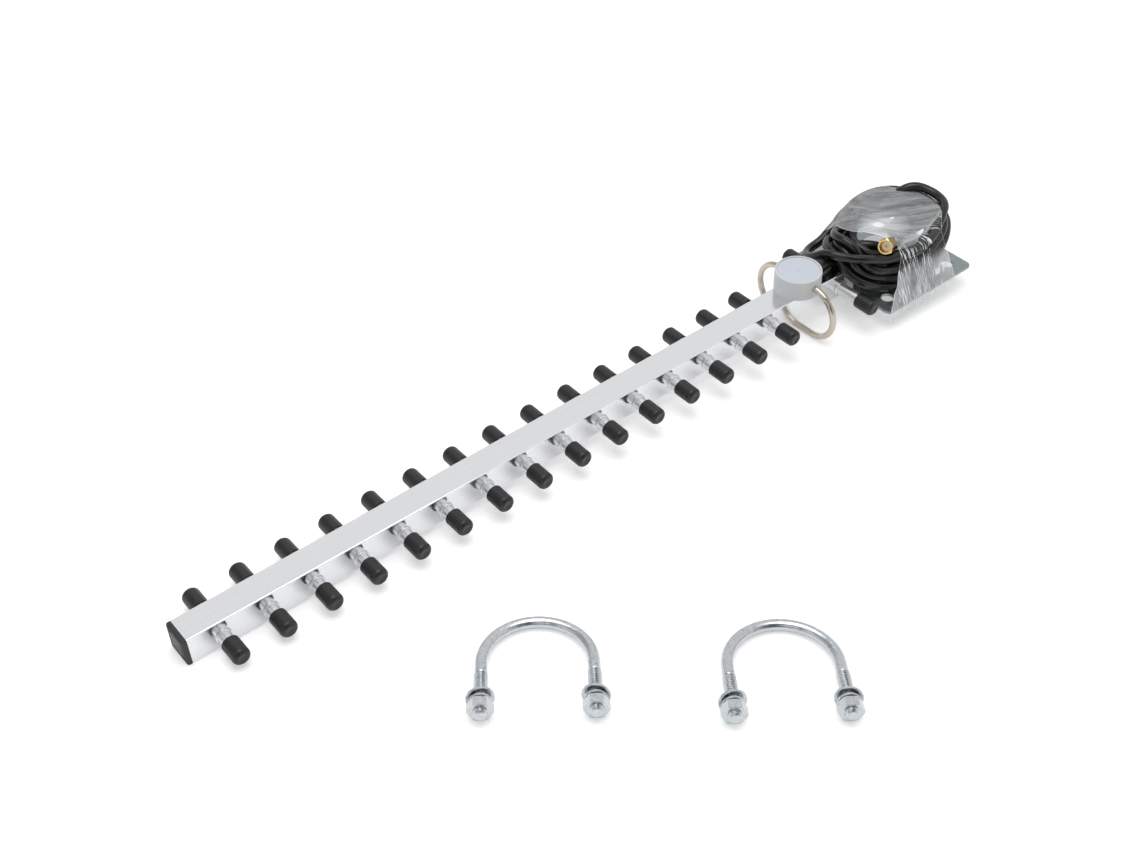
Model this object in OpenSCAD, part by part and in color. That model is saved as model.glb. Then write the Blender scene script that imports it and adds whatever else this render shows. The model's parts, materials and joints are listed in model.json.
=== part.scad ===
/* [Boom] */
// Outer width and height of the square boom tube
boom_w = 15; // [12:0.5:20]
// Wall thickness of the boom tube
boom_wall = 1; // [0.8:0.1:1.5]
// Outer corner radius of the boom tube
boom_corner_r = 0.6; // [0.3:0.1:1]
// Thickness of the flange on each end plug
plug_flange = 2.5; // [2:0.1:4]
// Depth of the plug inside the boom
plug_depth = 9; // [6:0.5:9.5]
// Chamfer round the front of an end plug
plug_chamfer = 0.9; // [0.5:0.1:1.5]

/* [Elements] */
// Number of directors
director_n = 15; // [5:1:15]
// Distance from the front end of the boom to the first director
first_gap = 16.2; // [12:0.1:30]
// Spacing of the directors along the boom
director_pitch = 23.5; // [16:0.5:32]
// Director length over its end caps
director_l = 48.4; // [42:0.1:80]
// Reflector length over its end caps
reflector_l = 66.4; // [50:0.1:100]
// Diameter of the element rods
rod_d = 6.6; // [5:0.1:8]
// How far the rods' axis lies below the boom's axis
rod_drop = 1.5; // [0:0.1:2]
// Diameter of the rolled bead that locks a rod against the boom
bead_d = 8; // [7:0.1:11]
// Width of the rolled bead
bead_t = 1; // [0.6:0.1:1.5]
// Outer diameter of the vinyl end caps
cap_d = 8.7; // [8.2:0.1:11]
// Length of an end cap
cap_l = 11.4; // [8:0.1:14]
// Thickness of the closed end of a cap
cap_end = 1.5; // [1:0.1:2.5]
// Rounding of the closed end of a cap
cap_round = 2.2; // [1:0.1:3]

/* [Feed] */
// Distance from the last director to the driven loop
feed_gap = 24.1; // [20:0.1:40]
// Distance from the driven loop to the reflector
reflector_gap = 25.5; // [22:0.1:45]
// Outer diameter of the feed housing
housing_d = 25.2; // [24:0.1:32]
// Height of the feed housing
housing_h = 11.3; // [10.5:0.1:16]
// Side wall of the feed housing
housing_wall = 1.8; // [1.4:0.1:2.2]
// Floor of the feed housing
housing_floor = 1.5; // [1:0.1:2]
// Width of the rim round the lid
rim_w = 1.1; // [0.8:0.1:1.3]
// Thickness of the lid
lid_t = 1.6; // [1:0.1:2]
// Depth of the lid below the rim
lid_recess = 0.4; // [0.2:0.1:0.8]
// Diameter of the driven loop's conductor
loop_d = 3.4; // [2.5:0.1:4]
// Loop length between the centrelines of its round ends
loop_l = 54.6; // [46:0.1:70]
// Radius of the loop's round ends, on the centreline
loop_r = 14.8; // [13:0.1:18]
// Height of the loop's upper conductor above the boom's top face
loop_rise = 5.7; // [5.2:0.1:8]
// Gap between the loop's two ends, inside the housing
loop_gap = 8; // [5:0.5:12]

/* [Mounting plate] */
// Plate length along the boom
plate_l = 67; // [60:1:90]
// Plate width across the boom
plate_w = 71; // [64:1:90]
// Plate thickness
plate_t = 1.5; // [1:0.1:3]
// Corner radius of the plate
plate_r = 3; // [1:0.5:6]
// Hole spacing along the boom, which is the U-bolts' leg spacing
hole_x = 48; // [40:1:52]
// Hole spacing across the boom, between the two U-bolts
hole_y = 51; // [40:1:54]
// Diameter of the plate's U-bolt holes
hole_d = 7; // [6.4:0.1:8]
// Distance from the reflector to the plate's front edge
plate_gap = 9.7; // [8:0.1:20]
// Distance from the end of the boom to the plate's rear edge
boom_setback = 0.5; // [0:0.1:3]
// Spacing of the two rivets that hold the plate
rivet_pitch = 40; // [36:1:42]
// Diameter of a rivet's shank
rivet_d = 4; // [3:0.1:5]

/* [U-bolts] */
// Thread diameter of the U-bolts
bolt_d = 5.9; // [4.8:0.1:6.2]
// Shank diameter of the U-bolts
shank_d = 5.3; // [4.2:0.1:5.6]
// Height of a U-bolt from its bend to its thread ends
bolt_h = 57; // [50:1:80]
// Threaded length of each leg
thread_l = 24.7; // [15:0.1:30]
// Width of the nuts across their flats
nut_af = 10; // [9:0.5:12]
// Height of the nuts
nut_h = 5; // [4:0.1:6]
// Length of thread that stands out past a nut
thread_out = 2.4; // [1:0.1:6]
// Diameter of the flat washers
washer_d = 12.4; // [11:0.1:16]
// Thickness of the flat washers
washer_t = 1.4; // [1:0.1:2]
// Thickness of the spring washers
spring_t = 1.6; // [1:0.1:2]

/* [Lead] */
// Outer diameter of the coaxial lead
lead_d = 5; // [4:0.1:5.4]
// Width of the connector's coupling nut across its flats
coupling_af = 8; // [7:0.1:9]
// Length of the connector's coupling nut
coupling_l = 7.6; // [6.6:0.1:9]
// Width of the cable tie
tie_w = 4.8; // [3.6:0.1:4.8]
// Thickness of the cable tie's strap
tie_t = 1.2; // [1:0.1:1.5]

/* [Hidden] */
function numbered(name, count) = [for (i = [1 : count]) str(name, i)];

$fn = 48;
eps = 0.01;

// Clearances: a free fit, a push fit and a running fit, all on the radius
free_fit = 0.1;
push_fit = 0.02;
running_fit = 0.05;

// Heights. The origin lies on the plate's underside, midway between its four holes.
boom_bottom = plate_t;
boom_z = boom_bottom + boom_w / 2;
boom_top = boom_bottom + boom_w;
rod_z = boom_z - rod_drop;
loop_top_z = boom_top + loop_rise;
loop_bottom_z = loop_top_z - 2 * loop_r;

// Stations along the boom, from the rear end to the front end
boom_rear = plate_l / 2 - boom_setback;
reflector_x = -plate_l / 2 - plate_gap;
feed_x = reflector_x - reflector_gap;
last_director_x = feed_x - feed_gap;
first_director_x = last_director_x - (director_n - 1) * director_pitch;
boom_front = first_director_x - first_gap;
boom_l = boom_rear - boom_front;
function director_x(i) = first_director_x + (i - 1) * director_pitch;

// The antenna rests on the loop and on the front bottom edge of the boom
rest_tilt = atan((boom_bottom - loop_bottom_z + loop_d / 2) / (feed_x - boom_front));
function rest_z(x) = loop_bottom_z - loop_d / 2 + (feed_x - x) * tan(rest_tilt);

// A square with round corners
module rounded_square(side_x, side_y, r) {
    square([side_x, side_y - 2 * r], center = true);
    square([side_x - 2 * r, side_y], center = true);
    for (sx = [-1, 1], sy = [-1, 1])
        translate([sx * (side_x / 2 - r), sy * (side_y / 2 - r)])
            circle(r);
}

// Stands a profile drawn in Y and Z along the boom
module along_x(length) {
    rotate([90, 0, 90])
        linear_extrude(length)
            children();
}

// A straight cylinder across the boom
module across_y(d, length) {
    rotate([90, 0, 0])
        cylinder(d = d, h = length, center = true);
}

// ---- Boom ----

// Square tube, pierced by every rod and drilled for the feed screws and the plate's rivets
module boom() {
    bore = boom_w - 2 * boom_wall;
    color("gainsboro")
    difference() {
        translate([boom_front, 0, boom_z])
            along_x(boom_l)
                difference() {
                    rounded_square(boom_w, boom_w, boom_corner_r);
                    square(bore, center = true);
                }
        for (i = [1 : director_n])
            translate([director_x(i), 0, rod_z])
                across_y(rod_d + 2 * push_fit, boom_w + 2);
        translate([reflector_x, 0, rod_z])
            across_y(rod_d + 2 * push_fit, boom_w + 2);
        for (x = feed_screw_xs)
            translate([x, 0, boom_top - boom_wall - 1])
                cylinder(d = feed_screw_d + 2 * free_fit, h = boom_wall + 2);
        for (x = rivet_xs)
            translate([x, 0, boom_bottom - 1])
                cylinder(d = rivet_d + 2 * free_fit, h = boom_wall + 2);
    }
}

plug_rim = 1.5;
plug_groove = 0.8;
plug_rib = 1;

// Moulded plug: a chamfered flange with a raised panel, and a ribbed box that grips the tube
module end_plug() {
    bore = boom_w - 2 * boom_wall;
    box_w = bore - 2;
    half = boom_w / 2;
    side = [
        [0, -half], [plug_flange - plug_chamfer, -half], [plug_flange, -half + plug_chamfer],
        [plug_flange, half - plug_chamfer], [plug_flange - plug_chamfer, half], [0, half]];
    difference() {
        intersection() {
            linear_extrude(boom_w + 2, center = true)
                polygon(side);
            rotate([90, 0, 0])
                linear_extrude(boom_w + 2, center = true)
                    polygon(side);
            along_x(plug_flange)
                rounded_square(boom_w, boom_w, boom_corner_r);
        }
        translate([plug_flange - 0.5, 0, 0])
            along_x(1)
                difference() {
                    square(boom_w - 2 * plug_chamfer - 2 * plug_rim + 2 * plug_groove, center = true);
                    square(boom_w - 2 * plug_chamfer - 2 * plug_rim, center = true);
                }
    }
    translate([-plug_depth, 0, 0])
        along_x(plug_depth)
            difference() {
                union() {
                    square(box_w, center = true);
                    for (y = [-1, 1] * box_w / 4) {
                        translate([y, 0])
                            square([plug_rib, bore - 2 * push_fit], center = true);
                        translate([0, y])
                            square([bore - 2 * push_fit, plug_rib], center = true);
                    }
                }
                square(box_w - 3, center = true);
            }
}

module front_plug() {
    color("dimgray")
    translate([boom_front, 0, boom_z])
        mirror([1, 0, 0])
            end_plug();
}

module rear_plug() {
    color("dimgray")
    translate([boom_rear, 0, boom_z])
        end_plug();
}

// ---- Directors and reflector ----

// A bead: a collar with a half-round rim, rolled up from the rod against the boom wall
module bead() {
    rim_r = bead_t / 2;
    rotate_extrude() {
        translate([rod_d / 2 - 0.5, 0])
            square([bead_d / 2 - rim_r - rod_d / 2 + 0.5, bead_t]);
        translate([bead_d / 2 - rim_r, rim_r])
            circle(rim_r);
    }
}

// A rod through the boom with a bead against each side wall
module element_rod(x, length) {
    translate([x, 0, rod_z]) {
        across_y(rod_d, length - 2 * cap_end);
        for (side = [0, 1])
            mirror([0, side, 0])
                translate([0, boom_w / 2, 0])
                    rotate([-90, 0, 0])
                        bead();
    }
}

dimple_r = 9;
dimple_depth = 0.35;

// A dipped vinyl cap with a rounded, slightly dimpled end and a soft open lip
module end_cap() {
    outer = cap_d / 2;
    lip = 0.3;
    rotate_extrude()
        difference() {
            intersection() {
                square([outer, cap_l]);
                union() {
                    translate([0, lip])
                        square([outer, cap_l - cap_round - lip]);
                    square([outer - lip, cap_l - cap_round]);
                    square([outer - cap_round, cap_l]);
                    translate([outer - lip, lip])
                        circle(lip);
                    translate([outer - cap_round, cap_l - cap_round])
                        circle(cap_round);
                }
            }
            translate([0, -1])
                square([rod_d / 2 + push_fit, cap_l - cap_end + 1]);
            translate([0, cap_l + dimple_r - dimple_depth])
                circle(dimple_r, $fn = 96);
        }
}

module cap_pair(x, length) {
    for (side = [0, 1])
        mirror([0, side, 0])
            translate([x, length / 2 - cap_l, rod_z])
                rotate([-90, 0, 0])
                    end_cap();
}

module director(i) {
    color("silver")
        element_rod(director_x(i), director_l);
}

module director_caps(i) {
    color([0.15, 0.15, 0.15])
        cap_pair(director_x(i), director_l);
}

module reflector() {
    color("silver")
        element_rod(reflector_x, reflector_l);
}

module reflector_caps() {
    color([0.15, 0.15, 0.15])
        cap_pair(reflector_x, reflector_l);
}

// ---- Feed ----

feed_screw_d = 3;
feed_head_d = 5.6;
feed_head_h = 1.2;
feed_nut_af = 5.5;
feed_nut_h = 2.4;
feed_screw_xs = [feed_x - 5.5, feed_x + 5.5];
feed_screw_tail = 1;
board_t = 1;
board_d = 17;
board_top = loop_rise - loop_d / 2 - 0.05;
housing_round = 0.8;
lid_d = housing_d - 2 * rim_w - 2 * free_fit;
gland_stem_d = 7;
gland_flange_d = 9;
gland_flange_t = 1.2;
gland_l = 7;
gland_tip_d = 6.6;

// Round cup on top of the boom: rim, lid seat, board posts, and holes for the loop and the lead
module feed_housing() {
    outer = housing_d / 2;
    post_h = board_top - board_t - housing_floor;
    seat_h = lid_t + lid_recess;
    color([0.75, 0.75, 0.76])
    translate([feed_x, 0, boom_top])
    difference() {
        union() {
            rotate_extrude($fn = 96)
                difference() {
                    union() {
                        square([outer, housing_h - housing_round / 2]);
                        square([outer - housing_round / 2, housing_h]);
                        translate([outer - housing_round / 2, housing_h - housing_round / 2])
                            circle(housing_round / 2);
                    }
                    translate([0, housing_floor])
                        square([outer - housing_wall, housing_h]);
                    translate([0, housing_h - seat_h])
                        square([outer - rim_w, housing_h]);
                }
            for (a = [45 : 90 : 315])
                rotate([0, 0, a])
                    translate([board_d / 2 - 1.5, 0, housing_floor - eps])
                        cylinder(d = 2.4, h = post_h + eps);
        }
        translate([0, 0, loop_rise - loop_r])
            loop_shape(loop_d + 2 * free_fit);
        translate([0, 0, loop_rise])
            rotate([0, 90, 0])
                cylinder(d = gland_stem_d + 2 * push_fit, h = housing_d);
        for (x = feed_screw_xs)
            translate([x - feed_x, 0, -1])
                cylinder(d = feed_screw_d + 2 * free_fit, h = housing_floor + 2);
    }
}

lid_skirt_t = 0.8;
lid_skirt_h = 1;

// Lid: a disc on the seat, with a short skirt that snaps inside the wall
module feed_lid() {
    skirt_d = housing_d - 2 * housing_wall - 2 * free_fit;
    color([0.82, 0.84, 0.88])
    translate([feed_x, 0, boom_top + housing_h - lid_recess - lid_t]) {
        cylinder(d = lid_d, h = lid_t, $fn = 96);
        translate([0, 0, -lid_skirt_h])
            difference() {
                cylinder(d = skirt_d, h = lid_skirt_h + eps, $fn = 96);
                translate([0, 0, -1])
                    cylinder(d = skirt_d - 2 * lid_skirt_t, h = lid_skirt_h + 1, $fn = 96);
                translate([0, 0, loop_rise - housing_h + lid_recess + lid_t + lid_skirt_h])
                    across_y(loop_d + 1, housing_d);
                translate([0, 0, loop_rise - housing_h + lid_recess + lid_t + lid_skirt_h])
                    rotate([0, 90, 0])
                        cylinder(d = gland_stem_d + 1, h = housing_d);
            }
    }
}

// Round circuit board that joins the loop's two ends to the lead
module feed_board() {
    color("darkgreen")
    translate([feed_x, 0, boom_top + board_top - board_t])
        cylinder(d = board_d, h = board_t);
}

// Two pan-head screws through the housing floor and the boom's top wall
module feed_screws() {
    shank = housing_floor + boom_wall + feed_nut_h + feed_screw_tail;
    color("silver")
    for (x = feed_screw_xs)
        translate([x, 0, boom_top + housing_floor]) {
            translate([0, 0, -shank])
                cylinder(d = feed_screw_d, h = shank + eps);
            difference() {
                cylinder(d = feed_head_d, h = feed_head_h);
                translate([-feed_head_d, -0.4, feed_head_h - 0.5])
                    cube([2 * feed_head_d, 0.8, 1]);
            }
        }
}

module feed_nuts() {
    color("silver")
    for (x = feed_screw_xs)
        translate([x, 0, boom_top - boom_wall - feed_nut_h])
            difference() {
                cylinder(d = feed_nut_af / cos(30), h = feed_nut_h, $fn = 6);
                translate([0, 0, -1])
                    cylinder(d = feed_screw_d + 2 * push_fit, h = feed_nut_h + 2);
            }
}

// The driven loop's shape about its middle, for a conductor of diameter d
module loop_shape(d) {
    bend_y = loop_l / 2 - loop_r;
    translate([0, 0, -loop_r])
        across_y(d, 2 * bend_y);
    for (side = [0, 1])
        mirror([0, side, 0]) {
            translate([0, bend_y, 0])
                rotate([0, 90, 0])
                    rotate_extrude(angle = 180)
                        translate([loop_r, 0])
                            circle(d = d);
            translate([0, loop_gap / 2, loop_r])
                rotate([-90, 0, 0])
                    cylinder(d = d, h = bend_y - loop_gap / 2);
        }
}

// Folded dipole: one bent conductor, whose two ends meet above the board inside the housing
module driven_loop() {
    color([0.72, 0.69, 0.64])
    translate([feed_x, 0, loop_bottom_z + loop_r])
        loop_shape(loop_d);
}

// ---- Lead ----

// The gland's inner end, and the tip of its taper, where the lead comes out
gland_in_x = feed_x + housing_d / 2 - housing_wall - 0.4;
gland_face_x = feed_x + housing_d / 2;
gland_out_x = gland_face_x + gland_l;

// Rubber strain relief: a stem in the housing wall, a flange outside it and a tapered sleeve
module lead_gland() {
    bore = lead_d + 2 * free_fit;
    color([0.12, 0.12, 0.12])
    translate([gland_in_x, 0, loop_top_z])
        rotate([0, 90, 0])
            difference() {
                union() {
                    cylinder(d = gland_stem_d, h = gland_face_x - gland_in_x + eps);
                    translate([0, 0, gland_face_x - gland_in_x])
                        cylinder(d = gland_flange_d, h = gland_flange_t);
                    translate([0, 0, gland_face_x - gland_in_x + gland_flange_t])
                        cylinder(d1 = gland_flange_d - 1, d2 = gland_tip_d, h = gland_l - gland_flange_t);
                }
                translate([0, 0, -1])
                    cylinder(d = bore, h = gland_out_x - gland_in_x + 2);
            }
}

// Vectors and a smooth curve through hand-placed points
function unit(v) = v / norm(v);
function bend_at(p, k, t) =
    let (a = p[max(k - 1, 0)], b = p[k], c = p[k + 1], d = p[min(k + 2, len(p) - 1)])
    0.5 * (2 * b + (c - a) * t + (2 * a - 5 * b + 4 * c - d) * t * t + (3 * b - a - 3 * c + d) * t * t * t);
function smooth_path(p, steps) = concat(
    [for (k = [0 : len(p) - 2], s = [0 : steps - 1]) bend_at(p, k, s / steps)],
    [p[len(p) - 1]]);
function ease(s) = let (c = min(max(s, 0), 1)) c * c * (3 - 2 * c);

// Walls between neighbouring rings of points, in the order that faces outward
function ring_walls(rings, sides, closed) = [
    for (i = [0 : rings - (closed ? 1 : 2)], k = [0 : sides - 1])
        let (a = i * sides + k, b = i * sides + (k + 1) % sides, next = ((i + 1) % rings - i) * sides)
            [a, b, b + next, a + next]];

lead_sides = 10;
route_steps = 2;

// A tube swept along the route
module swept_tube(route, d, steps) {
    c = smooth_path(route, steps);
    n = len(c);
    points = [
        for (i = [0 : n - 1])
            let (t = unit(c[min(i + 1, n - 1)] - c[max(i - 1, 0)]))
            let (s = unit(cross(t, [0, 0, 1])), u = cross(s, t))
                for (k = [0 : lead_sides - 1])
                    c[i] + d / 2 * (cos(360 * k / lead_sides) * s + sin(360 * k / lead_sides) * u)];
    polyhedron(points, concat(
        ring_walls(n, lead_sides, false),
        [[for (k = [lead_sides - 1 : -1 : 0]) k]],
        [[for (k = [0 : lead_sides - 1]) (n - 1) * lead_sides + k]]));
}

// Route from the gland along the boom's top, under the cable tie and down into the coil
lead_start_route = [
    [gland_in_x + 0.5, 0, loop_top_z], [-52, 0, loop_top_z], [-49, 0, loop_top_z - 0.1], [-44, 0, 20.5],
    [-39, 0, 19.15], [-33.5, 0, 19.1], [-28, -1.2, 19.1], [-22.5, -4.8, 19.15], [-17.5, -10.2, 18.4],
    [-12.5, -14.6, 14.8], [-7, -17.7, 9.6]];

module lead_start() {
    color([0.1, 0.1, 0.1])
        swept_tube(lead_start_route, lead_d, route_steps);
}

// The coil: an oval of seven turns that lies on the plate and bends over the end of the boom.
// Values that vary round it are given for its left, right, near and far sides.
coil_half_x = 36;
coil_half_y = 22.5;
coil_turn = -12;
coil_middle = [-1, 0];
coil_height = [24.5, 26, 10.6, 23.5];
coil_half_w = [9, 6, 5.5, 5.5];
coil_half_h = [6, 8, 8.5, 6.5];
coil_rings = 36;
coil_sides = 12;
drape_from = 8;
drape_over = 14;

// Where the bundle's middle lies at an angle round the oval
function coil_plan(a) =
    let (u = coil_half_x * cos(a), v = coil_half_y * sin(a))
        coil_middle + [u * cos(coil_turn) - v * sin(coil_turn), u * sin(coil_turn) + v * cos(coil_turn)];
function coil_z(p) =
    let (across = (p[0] + coil_half_x) / (2 * coil_half_x))
    let (over = coil_height[0] + (coil_height[1] - coil_height[0]) * min(max(across, 0), 1))
    let (down = ease((abs(p[1]) - drape_from) / drape_over))
        over * (1 - down) + coil_height[p[1] < 0 ? 2 : 3] * down;
function around(a, four) =
    four[cos(a) > 0 ? 1 : 0] * pow(cos(a), 2) + four[sin(a) > 0 ? 3 : 2] * pow(sin(a), 2);
function rounded(v) = sign(v) * pow(abs(v), 0.7);

module lead_coil() {
    points = [
        for (i = [0 : coil_rings - 1])
            let (a = -360 * i / coil_rings, p = coil_plan(a), t = unit(coil_plan(a - 1) - coil_plan(a + 1)))
                for (k = [0 : coil_sides - 1])
                    let (b = 360 * k / coil_sides, out = rounded(cos(b)) * around(a, coil_half_w))
                    let (up = rounded(sin(b)) * around(a, coil_half_h))
                        [p[0] - t[1] * out, p[1] + t[0] * out, coil_z(p) + up]];
    color([0.13, 0.13, 0.14])
        polyhedron(points, ring_walls(coil_rings, coil_sides, true));
}

// ---- Connector ----

// Centre of the coupling nut's mouth, and the way it points
connector_at = [-22, -18, 30];
connector_tilt = 68;
connector_heading = 201;
connector_axis = [
    sin(connector_tilt) * cos(connector_heading),
    sin(connector_tilt) * sin(connector_heading),
    cos(connector_tilt)];
coupling_back = 1.2;
coupling_bore = 6.4;
coupling_chamfer = 0.6;
neck_d = 5.4;
retainer_d = 6;
retainer_t = 0.6;
sleeve_d = 4.8;
sleeve_mouth = 2.2;
dielectric_d = 4.1;
dielectric_mouth = 2.4;
pin_d = 0.94;
pin_tip = 0.9;
collar_af = 7;
collar_l = 3.4;
collar_gap = 0.3;
crimp_d = 6;
crimp_l = 5.6;
shrink_d = 7.2;
shrink_l = 8.6;
retainer_back = coupling_l - coupling_back - 0.1;
collar_front = coupling_l + collar_gap;
crimp_front = collar_front + collar_l;
crimp_back = crimp_front + crimp_l;
connector_rear = connector_at - crimp_back * connector_axis;

module at_connector() {
    translate(connector_at)
        rotate([0, connector_tilt, connector_heading])
            children();
}

// Route out of the coil's near side, once round inside its right end, and back to the connector
lead_tail_route = [
    [9, -18.5, 17.5], [17, -17, 19], [22, -14.8, 19.4], [25.6, -11, 19.5], [27, -6, 19.5], [25.6, -0.8, 19.5],
    [22, 3.2, 19.5], [17, 4.7, 19.5], [11.8, 3.4, 19.4], [7.6, -0.4, 19.3], [4.6, -5.2, 19.4],
    connector_rear - 9 * connector_axis, connector_rear - 4 * connector_axis, connector_rear];

module lead_tail() {
    color([0.1, 0.1, 0.1])
        swept_tube(lead_tail_route, lead_d, route_steps);
}

// Shrink sleeve over the crimp and the end of the lead
module heat_shrink() {
    color([0.14, 0.14, 0.14])
    at_connector()
        translate([0, 0, -crimp_front - shrink_l])
            rotate_extrude()
                difference() {
                    square([shrink_d / 2, shrink_l]);
                    translate([0, -1])
                        square([lead_d / 2 + push_fit, shrink_l + 2]);
                    translate([0, shrink_l - crimp_l])
                        square([crimp_d / 2 + push_fit, crimp_l + 1]);
                }
}

// Turned body: crimp stem, hex collar, neck, retainer ring and contact sleeve
module connector_body() {
    color("goldenrod")
    at_connector() {
        translate([0, 0, -crimp_back])
            cylinder(d = crimp_d, h = crimp_l);
        translate([0, 0, -crimp_front])
            cylinder(d = collar_af / cos(30), h = collar_l, $fn = 6);
        difference() {
            union() {
                translate([0, 0, -collar_front])
                    cylinder(d = neck_d, h = collar_front - retainer_back);
                translate([0, 0, -retainer_back])
                    cylinder(d = retainer_d, h = retainer_t);
                translate([0, 0, -retainer_back])
                    cylinder(d = sleeve_d, h = retainer_back - sleeve_mouth);
            }
            translate([0, 0, -retainer_back])
                cylinder(d = dielectric_d, h = retainer_back);
        }
    }
}

module connector_insulator() {
    color("ivory")
    at_connector()
        translate([0, 0, -retainer_back])
            difference() {
                cylinder(d = dielectric_d - 2 * push_fit, h = retainer_back - dielectric_mouth);
                translate([0, 0, -1])
                    cylinder(d = pin_d + 2 * push_fit, h = retainer_back);
            }
}

module connector_pin() {
    color("gold")
    at_connector() {
        translate([0, 0, -retainer_back])
            cylinder(d = pin_d, h = retainer_back - pin_tip - pin_d / 2);
        translate([0, 0, -pin_tip - pin_d / 2])
            cylinder(d1 = pin_d, d2 = pin_d / 3, h = pin_d / 2);
    }
}

// Hex coupling nut that spins on the neck behind the retainer ring
module connector_nut() {
    corner_r = coupling_af / cos(30) / 2;
    color("gold")
    at_connector()
        translate([0, 0, -coupling_l])
            difference() {
                intersection() {
                    cylinder(r = corner_r, h = coupling_l, $fn = 6);
                    rotate_extrude()
                        polygon([
                            [0, 0], [corner_r - coupling_chamfer, 0], [corner_r, coupling_chamfer],
                            [corner_r, coupling_l - coupling_chamfer], [corner_r - coupling_chamfer, coupling_l],
                            [0, coupling_l]]);
                }
                translate([0, 0, -1])
                    cylinder(d = neck_d + 2 * running_fit, h = coupling_l);
                translate([0, 0, coupling_back])
                    cylinder(d = coupling_bore, h = coupling_l);
            }
}

// ---- Cable tie ----

tie_x = -plate_l / 2 - free_fit - tie_w;
tie_slack = 0.2;
tie_head = [6, 4.2, 5.4];

// Outline of the strap, grown by its thickness on the outside, as it passes over boom and lead
function tie_outline(grow) =
    let (side = boom_w / 2 + free_fit + grow, slope = grow * tan(22.5))
    let (top = boom_top + lead_d + tie_slack + grow)
    let (low = boom_bottom - free_fit - grow, shoulder = boom_top + free_fit, peak = lead_d / 2)
        [[-side, low], [side, low], [side, shoulder + slope], [peak + slope, top], [-peak - slope, top],
            [-side, shoulder + slope]];

module cable_tie() {
    color("white")
    translate([tie_x, 0, 0]) {
        along_x(tie_w)
            difference() {
                polygon(tie_outline(tie_t));
                polygon(tie_outline(0));
            }
        translate([tie_w / 2, boom_w / 2 + free_fit + tie_t, boom_z - tie_head[2] / 2])
            difference() {
                translate([-tie_head[0] / 2, 0, 0])
                    cube(tie_head);
                translate([-tie_w / 2, 1.4, -1])
                    cube([tie_w, tie_t, tie_head[2] + 2]);
            }
    }
}

// ---- Mounting plate ----

rivet_xs = [-rivet_pitch / 2, rivet_pitch / 2];
rivet_head_d = 7.5;
rivet_head_h = 1.3;
rivet_tail_d = 5.6;
rivet_tail_h = 3;

// Flat steel plate, punched for two U-bolts and for the rivets
module mount_plate() {
    color([0.49, 0.52, 0.52])
    linear_extrude(plate_t)
        difference() {
            rounded_square(plate_l, plate_w, plate_r);
            for (sx = [-1, 1], sy = [-1, 1])
                translate([sx * hole_x / 2, sy * hole_y / 2])
                    circle(d = hole_d);
            for (x = rivet_xs)
                translate([x, 0])
                    circle(d = rivet_d + 2 * free_fit);
        }
}

// Blind rivets: a domed head under the plate and a set tail inside the boom
module plate_rivets() {
    dome_r = (pow(rivet_head_d / 2, 2) + pow(rivet_head_h, 2)) / (2 * rivet_head_h);
    color("silver")
    for (x = rivet_xs)
        translate([x, 0, 0]) {
            rotate_extrude()
                intersection() {
                    translate([0, dome_r - rivet_head_h])
                        circle(dome_r, $fn = 96);
                    translate([0, -rivet_head_h])
                        square([rivet_head_d / 2, rivet_head_h]);
                }
            cylinder(d = rivet_d, h = plate_t + boom_wall + eps);
            translate([0, 0, plate_t + boom_wall])
                cylinder(d = rivet_tail_d, h = rivet_tail_h);
        }
}

// ---- Packing film ----

film_rivet_gap = 0.75;
film_x = [-6, rivet_xs[1] - rivet_head_d / 2 - film_rivet_gap];
film_t = 0.4;
film_side = plate_w / 2 + 0.4;
film_low = -0.4;

// Band of clear film round the plate, the end of the boom and the coil
module film_wrap() {
    color([0.9, 0.93, 0.95, 0.4])
    translate([film_x[0], 0, 0])
        along_x(film_x[1] - film_x[0])
            difference() {
                offset(delta = film_t)
                    film_outline();
                film_outline();
            }
}

module film_outline() {
    polygon([
        [-film_side, film_low], [film_side, film_low], [film_side, plate_t], [31, 27], [24, 34],
        [-8, 35], [-27, 25], [-film_side, plate_t]]);
}

// ---- U-bolts ----

// Where the loose U-bolts lie, in front of the boom, and the way they are turned
u_bolt_at = [[-325, -103], [-245, -170]];
u_bolt_heading = -37;
bend_r = hole_x / 2;
leg_end = bend_r + shank_d / 2 - bolt_h;
nut_y = leg_end + thread_out;
spring_y = nut_y + nut_h;
washer_y = spring_y + spring_t;
u_bolt_lean = atan((washer_d - shank_d) / 2 / (bend_r - washer_y - washer_t));
spring_d = 10;
spring_slit = 0.8;

// Lays a U-bolt or its fasteners down: bend and washers touch the surface the antenna rests on
module lay_down(at) {
    translate([at[0], at[1], rest_z(at[0]) + 0.02])
        rotate([0, rest_tilt, u_bolt_heading])
            translate([0, 0, shank_d / 2 + bend_r * sin(u_bolt_lean)])
                rotate([-u_bolt_lean, 0, 0])
                    children();
}

// Puts a turned part on each leg, with its lower face at the given height
module on_legs(y) {
    for (x = [-bend_r, bend_r])
        translate([x, y, 0])
            rotate([-90, 0, 0])
                children();
}

// Bent rod with a thread rolled on each leg
module u_bolt(at) {
    thread_chamfer = 0.7;
    color([0.75, 0.76, 0.78])
    lay_down(at) {
        rotate_extrude(angle = 180)
            translate([bend_r, 0])
                circle(d = shank_d);
        on_legs(leg_end + thread_l)
            cylinder(d = shank_d, h = -leg_end - thread_l);
        on_legs(leg_end)
            rotate_extrude()
                polygon([
                    [0, 0], [bolt_d / 2 - thread_chamfer, 0], [bolt_d / 2, thread_chamfer],
                    [bolt_d / 2, thread_l - 0.3], [shank_d / 2, thread_l], [0, thread_l]]);
    }
}

module u_bolt_1() {
    u_bolt(u_bolt_at[0]);
}

module u_bolt_2() {
    u_bolt(u_bolt_at[1]);
}

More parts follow.
